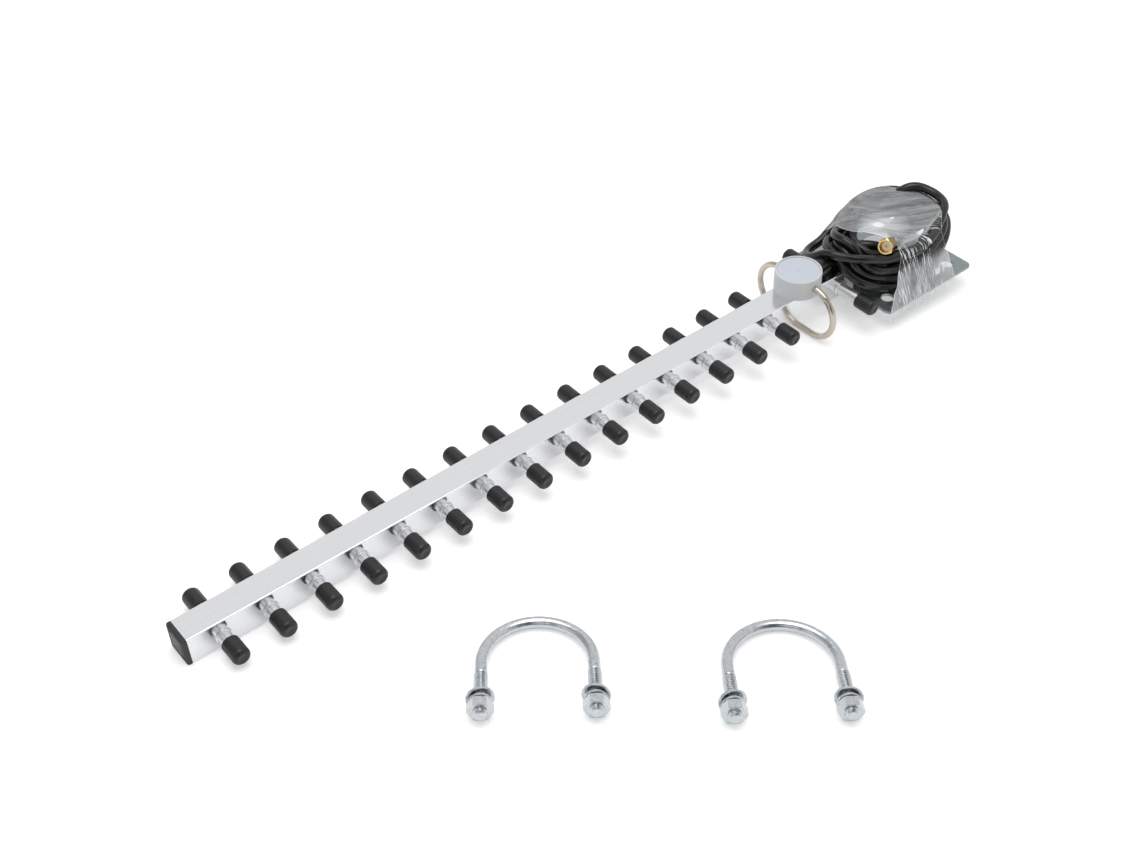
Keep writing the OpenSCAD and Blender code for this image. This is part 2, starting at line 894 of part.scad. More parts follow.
// Hex nuts with both faces chamfered
module clamp_nuts() {
    corner_r = nut_af / cos(30) / 2;
    color([0.75, 0.76, 0.78])
    for (at = u_bolt_at)
        lay_down(at)
            on_legs(nut_y)
                difference() {
                    intersection() {
                        cylinder(r = corner_r, h = nut_h, $fn = 6);
                        rotate_extrude()
                            polygon([
                                [0, 0], [nut_af / 2 - 0.2, 0], [corner_r, 0.45],
                                [corner_r, nut_h - 0.45], [nut_af / 2 - 0.2, nut_h], [0, nut_h]]);
                    }
                    translate([0, 0, -1])
                        cylinder(d = bolt_d + 2 * push_fit, h = nut_h + 2);
                }
}

// Spring washers, split on one side
module clamp_spring_washers() {
    color([0.7, 0.71, 0.73])
    for (at = u_bolt_at)
        lay_down(at)
            on_legs(spring_y)
                difference() {
                    cylinder(d = spring_d, h = spring_t);
                    translate([0, 0, -1])
                        cylinder(d = bolt_d + 2 * free_fit, h = spring_t + 2);
                    translate([0, -spring_slit / 2, -1])
                        cube([spring_d, spring_slit, spring_t + 2]);
                }
}

module clamp_flat_washers() {
    color([0.75, 0.76, 0.78])
    for (at = u_bolt_at)
        lay_down(at)
            on_legs(washer_y)
                difference() {
                    cylinder(d = washer_d, h = washer_t);
                    translate([0, 0, -1])
                        cylinder(d = bolt_d + 4 * free_fit, h = washer_t + 2);
                }
}

boom();
front_plug();
rear_plug();
for (i = [1 : director_n]) {
    director(i);
    director_caps(i);
}
reflector();
reflector_caps();
feed_housing();
feed_lid();
feed_board();
feed_screws();
feed_nuts();
driven_loop();
lead_gland();
lead_start();
lead_coil();
lead_tail();
heat_shrink();
connector_body();
connector_insulator();
connector_pin();
connector_nut();
cable_tie();
mount_plate();
plate_rivets();
film_wrap();
u_bolt_1();
u_bolt_2();
clamp_nuts();
clamp_spring_washers();
clamp_flat_washers();
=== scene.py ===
import bpy
import json
import math
import numpy as np
from mathutils import Matrix, Vector


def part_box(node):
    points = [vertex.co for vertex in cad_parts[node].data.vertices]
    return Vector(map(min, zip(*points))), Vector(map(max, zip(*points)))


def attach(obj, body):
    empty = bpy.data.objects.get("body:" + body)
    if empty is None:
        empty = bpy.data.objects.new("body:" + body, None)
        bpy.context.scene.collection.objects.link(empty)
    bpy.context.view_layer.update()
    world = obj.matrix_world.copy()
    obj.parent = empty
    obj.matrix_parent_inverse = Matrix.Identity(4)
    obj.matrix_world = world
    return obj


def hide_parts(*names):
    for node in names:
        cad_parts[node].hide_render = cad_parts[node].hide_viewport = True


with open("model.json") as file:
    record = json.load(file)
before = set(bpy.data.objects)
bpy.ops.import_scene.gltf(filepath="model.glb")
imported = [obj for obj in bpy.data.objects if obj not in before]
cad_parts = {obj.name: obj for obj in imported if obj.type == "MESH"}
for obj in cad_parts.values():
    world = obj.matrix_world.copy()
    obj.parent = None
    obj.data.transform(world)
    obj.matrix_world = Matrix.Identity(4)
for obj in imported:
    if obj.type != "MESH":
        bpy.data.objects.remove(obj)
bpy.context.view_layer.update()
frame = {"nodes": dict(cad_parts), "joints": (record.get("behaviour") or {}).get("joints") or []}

# ---- Camera, floor and studio light ----
# The antenna lies on a pale sweep, tipped a little because it rests on the driven loop and on the front
# end of the boom. One big soft box hangs over it, and the room's walls are white with two grey flags.

MM = 0.001
camera = bpy.data.objects.new("camera", bpy.data.cameras.new("camera"))
bpy.context.scene.collection.objects.link(camera)
bpy.context.scene.camera = camera
view_right = Vector((0.77984, -0.62523, -0.03060))
view_up = Vector((0.4375, 0.5095, 0.7409))
view_back = view_right.cross(view_up).normalized()
view_up = view_back.cross(view_right).normalized()
turn = Matrix((view_right.normalized(), view_up, view_back)).transposed().to_4x4()
camera.matrix_world = Matrix.Translation(Vector((-561.5, -445.1, 512.1)) * MM) @ turn
camera.data.sensor_fit = "HORIZONTAL"
camera.data.sensor_width = 36
camera.data.lens = 48.30
camera.data.clip_start = 0.01
camera.data.clip_end = 50


def linear(code):
    """An sRGB hex colour as the linear numbers that a shader takes."""
    parts = [int(code[i:i + 2], 16) / 255 for i in (1, 3, 5)]
    return (*[c / 12.92 if c <= 0.04045 else ((c + 0.055) / 1.055) ** 2.4 for c in parts], 1)


def add(tree, kind, inputs={}, **settings):
    """Adds a node with its settings; an input takes a value or another node's output."""
    made = tree.nodes.new(kind)
    for name, value in settings.items():
        setattr(made, name, value)
    for name, value in inputs.items():
        if isinstance(value, bpy.types.NodeSocket):
            tree.links.new(value, made.inputs[name])
        else:
            made.inputs[name].default_value = value
    return made


def material(name, **sockets):
    """A new material with one Principled shader; what is even all over is set on the shader itself."""
    made = bpy.data.materials.new(name)
    made.use_nodes = True
    shader = made.node_tree.nodes["Principled BSDF"]
    for socket, value in sockets.items():
        shader.inputs[socket.replace("_", " ")].default_value = value
    return made, made.node_tree, shader


# The loop touches the floor under the feed, and from there the floor falls away towards the plate
feed_x = -68.7
loop_low = -9.1
rest_slope = 0.028703


def rest_z(x):
    """How high the floor lies under a place along the boom, both in millimetres."""
    return loop_low + (feed_x - x) * rest_slope


floor_half = 6000
floor_mesh = bpy.data.meshes.new("floor")
corners = [Vector((x, y, rest_z(x))) * MM for x, y in
           ((-floor_half, -floor_half), (floor_half, -floor_half), (floor_half, floor_half),
            (-floor_half, floor_half))]
floor_mesh.from_pydata(corners, [], [(0, 1, 2, 3)])
floor = bpy.data.objects.new("floor", floor_mesh)
bpy.context.scene.collection.objects.link(floor)

# Matt white paper. A glow that only the camera and clear film see in full keeps it white, more so further
# out where the lamps don't reach; metal mirrors about half of the glow.
glow_near, glow_far, glow_in_metal = 0.36, 0.62, 0.55
paper, tree, shader = material("white_paper_sweep", Roughness=0.9)
shader.inputs["Base Color"].default_value = linear("#f5f5f5")
shader.inputs["Specular IOR Level"].default_value = 0.0
path = add(tree, "ShaderNodeLightPath")
seen = add(tree, "ShaderNodeMath", {0: path.outputs["Is Camera Ray"],
           1: path.outputs["Is Transmission Ray"]}, operation="MAXIMUM")
seen = add(tree, "ShaderNodeMath", {0: path.outputs["Is Glossy Ray"], 1: glow_in_metal,
           2: seen.outputs[0]}, operation="MULTIPLY_ADD")
where = add(tree, "ShaderNodeTexCoord")
out = add(tree, "ShaderNodeVectorMath", {0: where.outputs["Object"]}, operation="LENGTH")
far = add(tree, "ShaderNodeMapRange", {"Value": out.outputs["Value"], "From Min": 0.8, "From Max": 2.2,
          "To Min": glow_near, "To Max": glow_far})
lift = add(tree, "ShaderNodeMath", {0: seen.outputs[0], 1: far.outputs[0]}, operation="MULTIPLY")
glow = add(tree, "ShaderNodeEmission", {"Color": (1, 1, 1, 1), "Strength": lift.outputs[0]})
both = add(tree, "ShaderNodeAddShader", {0: shader.outputs[0], 1: glow.outputs[0]})
tree.links.new(both.outputs[0], tree.nodes["Material Output"].inputs["Surface"])
floor.data.materials.append(paper)

# White walls with two grey flags: a light one across the boom, and a deep one high behind the camera,
# which gives the black pieces their contrast. Each has its direction, how near to it the grey starts, and
# how much light is left in its middle.
flags = [((-0.45, 0.62, 0.64), 0.80, 0.55), ((-0.42, -0.68, 0.60), 0.60, 0.16)]
wall_light = 0.80
world = bpy.data.worlds.new("studio")
bpy.context.scene.world = world
world.use_nodes = True
tree = world.node_tree
tree.nodes.clear()
place = add(tree, "ShaderNodeTexCoord")
shade = None
for flag, width, depth in flags:
    near = add(tree, "ShaderNodeVectorMath", {0: place.outputs["Generated"],
               1: tuple(Vector(flag).normalized())}, operation="DOT_PRODUCT")
    card = add(tree, "ShaderNodeMapRange", {"Value": near.outputs["Value"], "From Min": width,
               "From Max": 0.97, "To Min": 1.0, "To Max": depth}, interpolation_type="SMOOTHSTEP")
    shade = card.outputs[0] if shade is None else add(
        tree, "ShaderNodeMath", {0: shade, 1: card.outputs[0]}, operation="MULTIPLY").outputs[0]
path = add(tree, "ShaderNodeLightPath")
seen = add(tree, "ShaderNodeMath", {0: path.outputs["Is Camera Ray"],
           1: path.outputs["Is Transmission Ray"]}, operation="MAXIMUM")
room = add(tree, "ShaderNodeMath", {0: shade, 1: wall_light}, operation="MULTIPLY")
strength = add(tree, "ShaderNodeMix", {0: seen.outputs[0], 2: room.outputs[0], 3: 1.0}, data_type="FLOAT")
air = add(tree, "ShaderNodeBackground", {"Color": (1, 1, 1, 1), "Strength": strength.outputs[0]})
tree.links.new(air.outputs[0], add(tree, "ShaderNodeOutputWorld").inputs["Surface"])

for name, at, aim, size, power in (("soft_box", (-0.25, 0.0, 1.25), (-0.18, 0, 0), (1.1, 0.9), 6.6),
                                   ("fill", (-1.2, -0.9, 0.9), (-0.2, 0, 0), (0.8, 0.8), 1.4)):
    lamp = bpy.data.objects.new(name, bpy.data.lights.new(name, "AREA"))
    lamp.data.shape = "RECTANGLE"
    lamp.data.size, lamp.data.size_y = size
    lamp.data.energy = power
    lamp.location = at
    lamp.rotation_euler = (Vector(aim) - Vector(at)).to_track_quat("-Z", "Y").to_euler()
    bpy.context.scene.collection.objects.link(lamp)
bpy.context.scene.view_settings.view_transform = "Standard"

# ---- Boom ----
# A 15 mm square tube of extruded aluminium, drawn bright and clear anodised. It mirrors what stands
# close to it, a little milky. Its faint die lines are drawn 0.6 mm apart, coarser than real, to show.


def dress(finish, slot, *names):
    """Gives CAD nodes a finish in place of their plain one."""
    for name in names:
        piece = frame["nodes"][name]
        if not piece.material_slots:
            piece.data.materials.append(finish)
        for place in piece.material_slots:
            place.material = finish


def per(size):
    """The scale of a pattern whose grains are this many millimetres across."""
    return 1 / (size * MM)


bright, tree, shader = material("bright_anodised_aluminium", Metallic=1.0)
where = add(tree, "ShaderNodeTexCoord")
along = add(tree, "ShaderNodeMapping", {"Vector": where.outputs["Object"],
            "Scale": (per(83), per(0.625), per(0.625))})
lines = add(tree, "ShaderNodeTexNoise", {"Vector": along.outputs[0], "Scale": 1.0, "Detail": 3.0})
cloud = add(tree, "ShaderNodeTexNoise", {"Vector": where.outputs["Object"],
            "Scale": per(25), "Detail": 2.0})
tone = add(tree, "ShaderNodeMix", {0: lines.outputs["Fac"], 6: linear("#ebecef"), 7: linear("#f5f6f8")},
           data_type="RGBA")
tree.links.new(tone.outputs[2], shader.inputs["Base Color"])
gloss = add(tree, "ShaderNodeMapRange", {"Value": cloud.outputs["Fac"], "From Min": 0.3, "From Max": 0.7,
            "To Min": 0.11, "To Max": 0.17})
tree.links.new(gloss.outputs[0], shader.inputs["Roughness"])
relief = add(tree, "ShaderNodeBump", {"Height": lines.outputs["Fac"], "Strength": 0.06,
             "Distance": 0.02 * MM})
tree.links.new(relief.outputs[0], shader.inputs["Normal"])
dress(bright, "boom_aluminium", "boom")

# ---- End plugs ----
# Moulded black polyethylene plugs, pushed into both ends of the tube: a satin chamfered flange with a
# raised panel inside a groove. The mould's grain is drawn coarser than real, to show.

plug_black, tree, shader = material("moulded_black_polyethylene", Roughness=0.42, IOR=1.51)
where = add(tree, "ShaderNodeTexCoord")
grain = add(tree, "ShaderNodeTexNoise", {"Vector": where.outputs["Object"],
            "Scale": per(0.4), "Detail": 2.0})
tone = add(tree, "ShaderNodeMix", {0: grain.outputs["Fac"], 6: linear("#1b1b1c"), 7: linear("#2a2a2b")},
           data_type="RGBA")
tree.links.new(tone.outputs[2], shader.inputs["Base Color"])
relief = add(tree, "ShaderNodeBump", {"Height": grain.outputs["Fac"], "Strength": 0.25,
             "Distance": 0.05 * MM})
tree.links.new(relief.outputs[0], shader.inputs["Normal"])
dress(plug_black, "plug_plastic", "front_plug", "rear_plug")

# ---- Directors and reflector ----
# Drawn aluminium rods, pushed through the boom and locked by a bead rolled against each wall. Tumbling
# leaves them satin and faintly wavy, with draw lines along the rod. The lines are drawn coarser than real.

director_n = 15
rods = [f"director_{i}" for i in range(1, director_n + 1)] + ["reflector"]
drawn, tree, shader = material("tumbled_drawn_aluminium", Metallic=1.0)
where = add(tree, "ShaderNodeTexCoord")
along = add(tree, "ShaderNodeMapping", {"Vector": where.outputs["Object"],
            "Scale": (per(0.556), per(11.1), per(0.556))})
lines = add(tree, "ShaderNodeTexNoise", {"Vector": along.outputs[0], "Scale": 1.0, "Detail": 3.0})
waves = add(tree, "ShaderNodeTexNoise", {"Vector": where.outputs["Object"],
            "Scale": per(2.38), "Detail": 2.0})
tone = add(tree, "ShaderNodeMix", {0: lines.outputs["Fac"], 6: linear("#e3e5e7"), 7: linear("#f4f5f6")},
           data_type="RGBA")
tree.links.new(tone.outputs[2], shader.inputs["Base Color"])
gloss = add(tree, "ShaderNodeMapRange", {"Value": lines.outputs["Fac"], "From Min": 0.3, "From Max": 0.7,
            "To Min": 0.30, "To Max": 0.38})
tree.links.new(gloss.outputs[0], shader.inputs["Roughness"])
rough = add(tree, "ShaderNodeBump", {"Height": waves.outputs["Fac"], "Strength": 0.1,
            "Distance": 0.06 * MM})
relief = add(tree, "ShaderNodeBump", {"Height": lines.outputs["Fac"], "Strength": 0.05,
             "Distance": 0.02 * MM, "Normal": rough.outputs[0]})
tree.links.new(relief.outputs[0], shader.inputs["Normal"])
dress(drawn, "rod_aluminium", *rods)

# ---- End caps ----
# Dip-moulded caps of soft black vinyl, two on each rod. The skin is satin with a faint orange peel about
# a millimetre across, a little dusty, and the closed end is domed with a shallow dimple.

vinyl, tree, shader = material("dip_moulded_black_vinyl", IOR=1.53)
where = add(tree, "ShaderNodeTexCoord")
peel = add(tree, "ShaderNodeTexNoise", {"Vector": where.outputs["Object"],
           "Scale": per(1.11), "Detail": 3.0})
dust = add(tree, "ShaderNodeTexNoise", {"Vector": where.outputs["Object"],
           "Scale": per(3.85), "Detail": 4.0})
tone = add(tree, "ShaderNodeMix", {0: dust.outputs["Fac"], 6: linear("#0d0d0d"), 7: linear("#1b1a1a")},
           data_type="RGBA")
tree.links.new(tone.outputs[2], shader.inputs["Base Color"])
gloss = add(tree, "ShaderNodeMapRange", {"Value": dust.outputs["Fac"], "From Min": 0.3, "From Max": 0.7,
            "To Min": 0.32, "To Max": 0.45})
tree.links.new(gloss.outputs[0], shader.inputs["Roughness"])
relief = add(tree, "ShaderNodeBump", {"Height": peel.outputs["Fac"], "Strength": 0.2,
             "Distance": 0.06 * MM})
tree.links.new(relief.outputs[0], shader.inputs["Normal"])
dress(vinyl, "cap_vinyl", *[f"director_caps_{i}" for i in range(1, director_n + 1)], "reflector_caps")

# ---- Feed housing and lid ----
# An injection-moulded ABS cup in matt light grey, screwed on the boom; its eroded grain is drawn coarse,
# to show. A thin pale lid snaps in below the rim. Both keep a trace of where the plastic was let in. The
# circuit board inside is green glass laminate.

housing_gate = Vector((-81.3, 0.8, 22.5)) * MM
lid_gate = Vector((feed_x, 0, 27.4)) * MM
abs_grey, tree, shader = material("moulded_light_grey_abs", Roughness=0.5, IOR=1.54)
where = add(tree, "ShaderNodeTexCoord")
grain = add(tree, "ShaderNodeTexNoise", {"Vector": where.outputs["Object"],
            "Scale": per(0.455), "Detail": 2.0})
cloud = add(tree, "ShaderNodeTexNoise", {"Vector": where.outputs["Object"],
            "Scale": per(14.3), "Detail": 3.0})
tone = add(tree, "ShaderNodeMix", {0: cloud.outputs["Fac"], 6: linear("#cfd0d1"), 7: linear("#dadbdc")},
           data_type="RGBA")
tree.links.new(tone.outputs[2], shader.inputs["Base Color"])
rough = add(tree, "ShaderNodeBump", {"Height": grain.outputs["Fac"], "Strength": 0.25,
            "Distance": 0.05 * MM})
gate = add(tree, "ShaderNodeVectorMath", {0: where.outputs["Object"], 1: tuple(housing_gate)},
           operation="DISTANCE")
dent = add(tree, "ShaderNodeMapRange", {"Value": gate.outputs["Value"], "From Min": 0.1 * MM,
           "From Max": 1.0 * MM}, interpolation_type="SMOOTHSTEP")
relief = add(tree, "ShaderNodeBump", {"Height": dent.outputs[0], "Strength": 1.0,
             "Distance": 0.35 * MM, "Normal": rough.outputs[0]})
tree.links.new(relief.outputs[0], shader.inputs["Normal"])
dress(abs_grey, "housing_abs", "feed_housing")

abs_pale, tree, shader = material("moulded_pale_blue_grey_abs", Roughness=0.55, IOR=1.54)
where = add(tree, "ShaderNodeTexCoord")
grain = add(tree, "ShaderNodeTexNoise", {"Vector": where.outputs["Object"],
            "Scale": per(0.333), "Detail": 2.0})
tone = add(tree, "ShaderNodeMix", {0: grain.outputs["Fac"], 6: linear("#c6cdd7"), 7: linear("#d3d9e3")},
           data_type="RGBA")
gate = add(tree, "ShaderNodeVectorMath", {0: where.outputs["Object"], 1: tuple(lid_gate)},
           operation="DISTANCE")
mark = add(tree, "ShaderNodeMapRange", {"Value": gate.outputs["Value"], "From Min": 0.4 * MM,
           "From Max": 1.0 * MM, "To Min": 0.3, "To Max": 0.0}, interpolation_type="SMOOTHSTEP")
dotted = add(tree, "ShaderNodeMix", {0: mark.outputs[0], 6: tone.outputs[2], 7: linear("#8f959e")},
             data_type="RGBA")
tree.links.new(dotted.outputs[2], shader.inputs["Base Color"])
relief = add(tree, "ShaderNodeBump", {"Height": grain.outputs["Fac"], "Strength": 0.3,
             "Distance": 0.04 * MM})
tree.links.new(relief.outputs[0], shader.inputs["Normal"])
dress(abs_pale, "lid_abs", "feed_lid")

laminate, tree, shader = material("green_glass_laminate", Roughness=0.4, IOR=1.5)
where = add(tree, "ShaderNodeTexCoord")
weave = add(tree, "ShaderNodeTexNoise", {"Vector": where.outputs["Object"], "Scale": per(0.667)})
tone = add(tree, "ShaderNodeMix", {0: weave.outputs["Fac"], 6: linear("#1c5a34"), 7: linear("#267043")},
           data_type="RGBA")
tree.links.new(tone.outputs[2], shader.inputs["Base Color"])
dress(laminate, "board_fibreglass", "feed_board")

# ---- Driven loop ----
# A folded dipole bent from round brass rod and nickel plated: a warm grey mirror, clouded by soft wiping
# marks a few millimetres long.

nickel, tree, shader = material("bright_nickel_plate", Metallic=1.0)
where = add(tree, "ShaderNodeTexCoord")
marks = add(tree, "ShaderNodeTexNoise", {"Vector": where.outputs["Object"],
            "Scale": per(2.86), "Detail": 5.0})
tone = add(tree, "ShaderNodeMix", {0: marks.outputs["Fac"], 6: linear("#bdb3a6"), 7: linear("#d3cabe")},
           data_type="RGBA")
tree.links.new(tone.outputs[2], shader.inputs["Base Color"])
gloss = add(tree, "ShaderNodeMapRange", {"Value": marks.outputs["Fac"], "From Min": 0.35, "From Max": 0.65,
            "To Min": 0.12, "To Max": 0.26})
tree.links.new(gloss.outputs[0], shader.inputs["Roughness"])
relief = add(tree, "ShaderNodeBump", {"Height": marks.outputs["Fac"], "Strength": 0.15,
             "Distance": 0.04 * MM})
tree.links.new(relief.outputs[0], shader.inputs["Normal"])
dress(nickel, "loop_nickel", "driven_loop")

# ---- Mounting plate and rivets ----
# Punched steel sheet, hot-dip galvanised: cool grey crystals of zinc a few millimetres across, each
# catching the light a little differently, under a dull bloom. Two blind rivets hold it to the boom.

galvanised, tree, shader = material("galvanised_steel", Metallic=0.85)
where = add(tree, "ShaderNodeTexCoord")
bend = add(tree, "ShaderNodeTexNoise", {"Vector": where.outputs["Object"],
           "Scale": per(8.33), "Detail": 2.0})
shift = add(tree, "ShaderNodeVectorMath", {0: bend.outputs["Color"], 1: (0.006, 0.006, 0.006)},
            operation="MULTIPLY")
warped = add(tree, "ShaderNodeVectorMath", {0: where.outputs["Object"], 1: shift.outputs[0]},
             operation="ADD")
spangle = add(tree, "ShaderNodeTexVoronoi", {"Vector": warped.outputs[0], "Scale": per(6)})
flat = add(tree, "ShaderNodeSeparateColor", {"Color": spangle.outputs["Color"]})
bloom = add(tree, "ShaderNodeTexNoise", {"Vector": where.outputs["Object"],
            "Scale": per(3.33), "Detail": 5.0})
blend = add(tree, "ShaderNodeMath", {0: flat.outputs["Red"], 1: bloom.outputs["Fac"]}, operation="ADD")
half = add(tree, "ShaderNodeMath", {0: blend.outputs[0], 1: 0.5}, operation="MULTIPLY")
tone = add(tree, "ShaderNodeMix", {0: half.outputs[0], 6: linear("#8c9696"), 7: linear("#a9b2b2")},
           data_type="RGBA")
tree.links.new(tone.outputs[2], shader.inputs["Base Color"])
gloss = add(tree, "ShaderNodeMapRange", {"Value": half.outputs[0], "From Min": 0.2, "From Max": 0.8,
            "To Min": 0.30, "To Max": 0.46})
tree.links.new(gloss.outputs[0], shader.inputs["Roughness"])
relief = add(tree, "ShaderNodeBump", {"Height": half.outputs[0], "Strength": 0.15,
             "Distance": 0.05 * MM})
tree.links.new(relief.outputs[0], shader.inputs["Normal"])
dress(galvanised, "plate_galvanised", "mount_plate")
dress(drawn, "rod_aluminium", "plate_rivets")

# ---- Zinc-plated hardware ----
# The U-bolts, their nuts, spring washers and flat washers, and the screws and nuts inside the housing, in
# bright zinc plate: a bluish mirror, clouded here and there, with small grey pits.

zinc, tree, shader = material("bright_zinc_plate", Metallic=1.0)
where = add(tree, "ShaderNodeTexCoord")
marks = add(tree, "ShaderNodeTexNoise", {"Vector": where.outputs["Object"], "Scale": per(2), "Detail": 4.0,
            "Roughness": 0.6})
tone = add(tree, "ShaderNodeMix", {0: marks.outputs["Fac"], 6: linear("#b4b9be"), 7: linear("#dfe3e6")},
           data_type="RGBA")
grit = add(tree, "ShaderNodeTexNoise", {"Vector": where.outputs["Object"],
           "Scale": per(0.909), "Detail": 2.0})
pits = add(tree, "ShaderNodeMapRange", {"Value": grit.outputs["Fac"], "From Min": 0.66, "From Max": 0.72,
           "To Max": 0.7})
pitted = add(tree, "ShaderNodeMix", {0: pits.outputs[0], 6: tone.outputs[2], 7: linear("#5c5f62")},
             data_type="RGBA")
tree.links.new(pitted.outputs[2], shader.inputs["Base Color"])
gloss = add(tree, "ShaderNodeMapRange", {"Value": marks.outputs["Fac"], "From Min": 0.35, "From Max": 0.65,
            "To Min": 0.14, "To Max": 0.28})
tree.links.new(gloss.outputs[0], shader.inputs["Roughness"])
relief = add(tree, "ShaderNodeBump", {"Height": marks.outputs["Fac"], "Strength": 0.14,
             "Distance": 0.05 * MM})
tree.links.new(relief.outputs[0], shader.inputs["Normal"])
dress(zinc, "screw_zinc", "u_bolt_1", "u_bolt_2", "clamp_nuts", "clamp_spring_washers",
      "clamp_flat_washers", "feed_screws", "feed_nuts")

# ---- Connector ----
# A screw-on coaxial plug turned from brass and gold plated, with a white PTFE dielectric round its pin.
# Its hex coupling nut spins on the neck. A matt shrink sleeve covers the crimp. Tool marks cloud the gold.

gold, tree, shader = material("gold_plated_brass", Metallic=1.0)
where = add(tree, "ShaderNodeTexCoord")
turned = add(tree, "ShaderNodeTexNoise", {"Vector": where.outputs["Object"],
             "Scale": per(0.714), "Detail": 3.0})
tone = add(tree, "ShaderNodeMix", {0: turned.outputs["Fac"], 6: linear("#e4bf7c"), 7: linear("#f3dba8")},
           data_type="RGBA")
tree.links.new(tone.outputs[2], shader.inputs["Base Color"])
gloss = add(tree, "ShaderNodeMapRange", {"Value": turned.outputs["Fac"], "To Min": 0.10, "To Max": 0.24})
tree.links.new(gloss.outputs[0], shader.inputs["Roughness"])
dress(gold, "connector_gold", "connector_body", "connector_nut", "connector_pin")

ptfe, tree, shader = material("white_ptfe", Roughness=0.45, IOR=1.38)
where = add(tree, "ShaderNodeTexCoord")
cloud = add(tree, "ShaderNodeTexNoise", {"Vector": where.outputs["Object"], "Scale": per(1.11)})
tone = add(tree, "ShaderNodeMix", {0: cloud.outputs["Fac"], 6: linear("#e6dfd6"), 7: linear("#f3eee6")},
           data_type="RGBA")
tree.links.new(tone.outputs[2], shader.inputs["Base Color"])
dress(ptfe, "connector_ptfe", "connector_insulator")

sleeve, tree, shader = material("shrunk_black_polyolefin", Roughness=0.6, IOR=1.5)
where = add(tree, "ShaderNodeTexCoord")
grain = add(tree, "ShaderNodeTexNoise", {"Vector": where.outputs["Object"], "Scale": per(0.833)})
tone = add(tree, "ShaderNodeMix", {0: grain.outputs["Fac"], 6: linear("#171717"), 7: linear("#262626")},
           data_type="RGBA")
tree.links.new(tone.outputs[2], shader.inputs["Base Color"])
dress(sleeve, "sleeve_polyolefin", "heat_shrink")

# ---- Lead ----
# A 5 mm coaxial cable in a smooth black PVC jacket. It leaves the housing through a rubber gland, runs
# under the cable tie and is wound six and a bit times over the end of the boom, and it ends in the plug.

pvc, tree, shader = material("extruded_black_pvc", IOR=1.53)
where = add(tree, "ShaderNodeTexCoord")
haze = add(tree, "ShaderNodeTexNoise", {"Vector": where.outputs["Object"],
           "Scale": per(4.55), "Detail": 4.0})
tone = add(tree, "ShaderNodeMix", {0: haze.outputs["Fac"], 6: linear("#0c0c0d"), 7: linear("#151516")},
           data_type="RGBA")
tree.links.new(tone.outputs[2], shader.inputs["Base Color"])
gloss = add(tree, "ShaderNodeMapRange", {"Value": haze.outputs["Fac"], "From Min": 0.3, "From Max": 0.7,
            "To Min": 0.19, "To Max": 0.30})
tree.links.new(gloss.outputs[0], shader.inputs["Roughness"])
relief = add(tree, "ShaderNodeBump", {"Height": haze.outputs["Fac"], "Strength": 0.08,
             "Distance": 0.1 * MM})
tree.links.new(relief.outputs[0], shader.inputs["Normal"])
dress(pvc, "lead_pvc", "lead_gland")

# The ways given point by point, in millimetres: along the boom from the gland, the strand that lies
# loose on top of the coil, and the way out of the coil to the plug
lead_d = 5.0
start_route = [
    (-57.8, 0, 22.2), (-52, 0, 22.2), (-49, 0, 22.1), (-44, 0, 20.5), (-39, 0, 19.15), (-33.5, 0, 19.1),
    (-28, -1.2, 19.1), (-22.5, -4.8, 19.15), (-17.5, -10.2, 18.4), (-12.5, -14.6, 14.8), (-7, -17.7, 9.6)]
loose_route = [
    (-6, 18.5, 26), (-15, 17, 25), (-24, 16.8, 22.8), (-32, 18, 20), (-40, 19.5, 18), (-46.5, 17.5, 18.4),
    (-49.5, 12.5, 20.6), (-48, 6, 22.7), (-44.5, 0, 24.6), (-41.3, -5.5, 25.8), (-37, -10.8, 26.2),
    (-31.5, -15, 26), (-25, -18.6, 25.6), (-17.5, -21.2, 25)]
tail_route = [
    (9, -18.5, 17.5), (17, -17, 19), (22, -14.8, 19.4), (25.6, -11, 19.5), (27, -6, 19.5),
    (25.6, -0.8, 19.5), (22, 3.2, 19.5), (17, 4.7, 19.5), (11.8, 3.4, 19.4), (7.6, -0.4, 19.3),
    (4.6, -5.2, 19.4), (0.42, -9.39, 20.3), (-3.9, -11.05, 22.17), (-7.37, -12.38, 23.67)]

# The coil's turns, as they pass the near side, the right end, the far side and the left end: how far
# outside the coil's middle line the lead lies there, and how high
coil_turns = [
    [(-2.5, 4.1), (-2.5, 19.4), (-2.5, 19.5), (5.0, 24.5)],
    [(2.8, 4.1), (2.8, 19.4), (2.8, 19.0), (-9.5, 20.0)],
    [(-2.5, 9.1), (-2.5, 24.4), (-2.5, 24.5), (0.5, 24.5)],
    [(2.8, 9.1), (2.8, 24.4), (2.8, 24.0), (0.5, 29.0)],
    [(2.8, 16.0), (0.5, 28.5), (0.5, 26.5), (5.0, 25.5)],
    [(1.5, 24.0), (0.5, 28.0), (1.0, 26.5), (-11.0, 24.5)],
    [(-4.5, 16.5)]]
# Where a strand strays: its place and half width in turns, how far out, and how far up
coil_strays = [
    (5.31, 0.14, 2.5, 5.0), (3.62, 0.10, -3.0, -2.0), (4.43, 0.12, 5.0, 2.5), (0.87, 0.12, 5.0, -3.0),
    (1.88, 0.13, -4.0, 3.0), (2.87, 0.12, 4.0, -1.0), (3.87, 0.12, 4.0, -4.0)]
# The coil's oval: half its length and width, how far it is turned and where its middle is. Its far side is
# pressed in, at a place and with a half width in turns, by some millimetres.
coil_half = (34.5, 22.5)
coil_lean = math.radians(-12)
coil_middle = (-2.5, 0.0)
flat_at, flat_width, flat_out = 0.63, 0.17, -7.5
turn_points = 36


def ease(s):
    """Goes softly from 0 to 1."""
    s = np.clip(s, 0, 1)
    return s * s * (3 - 2 * s)


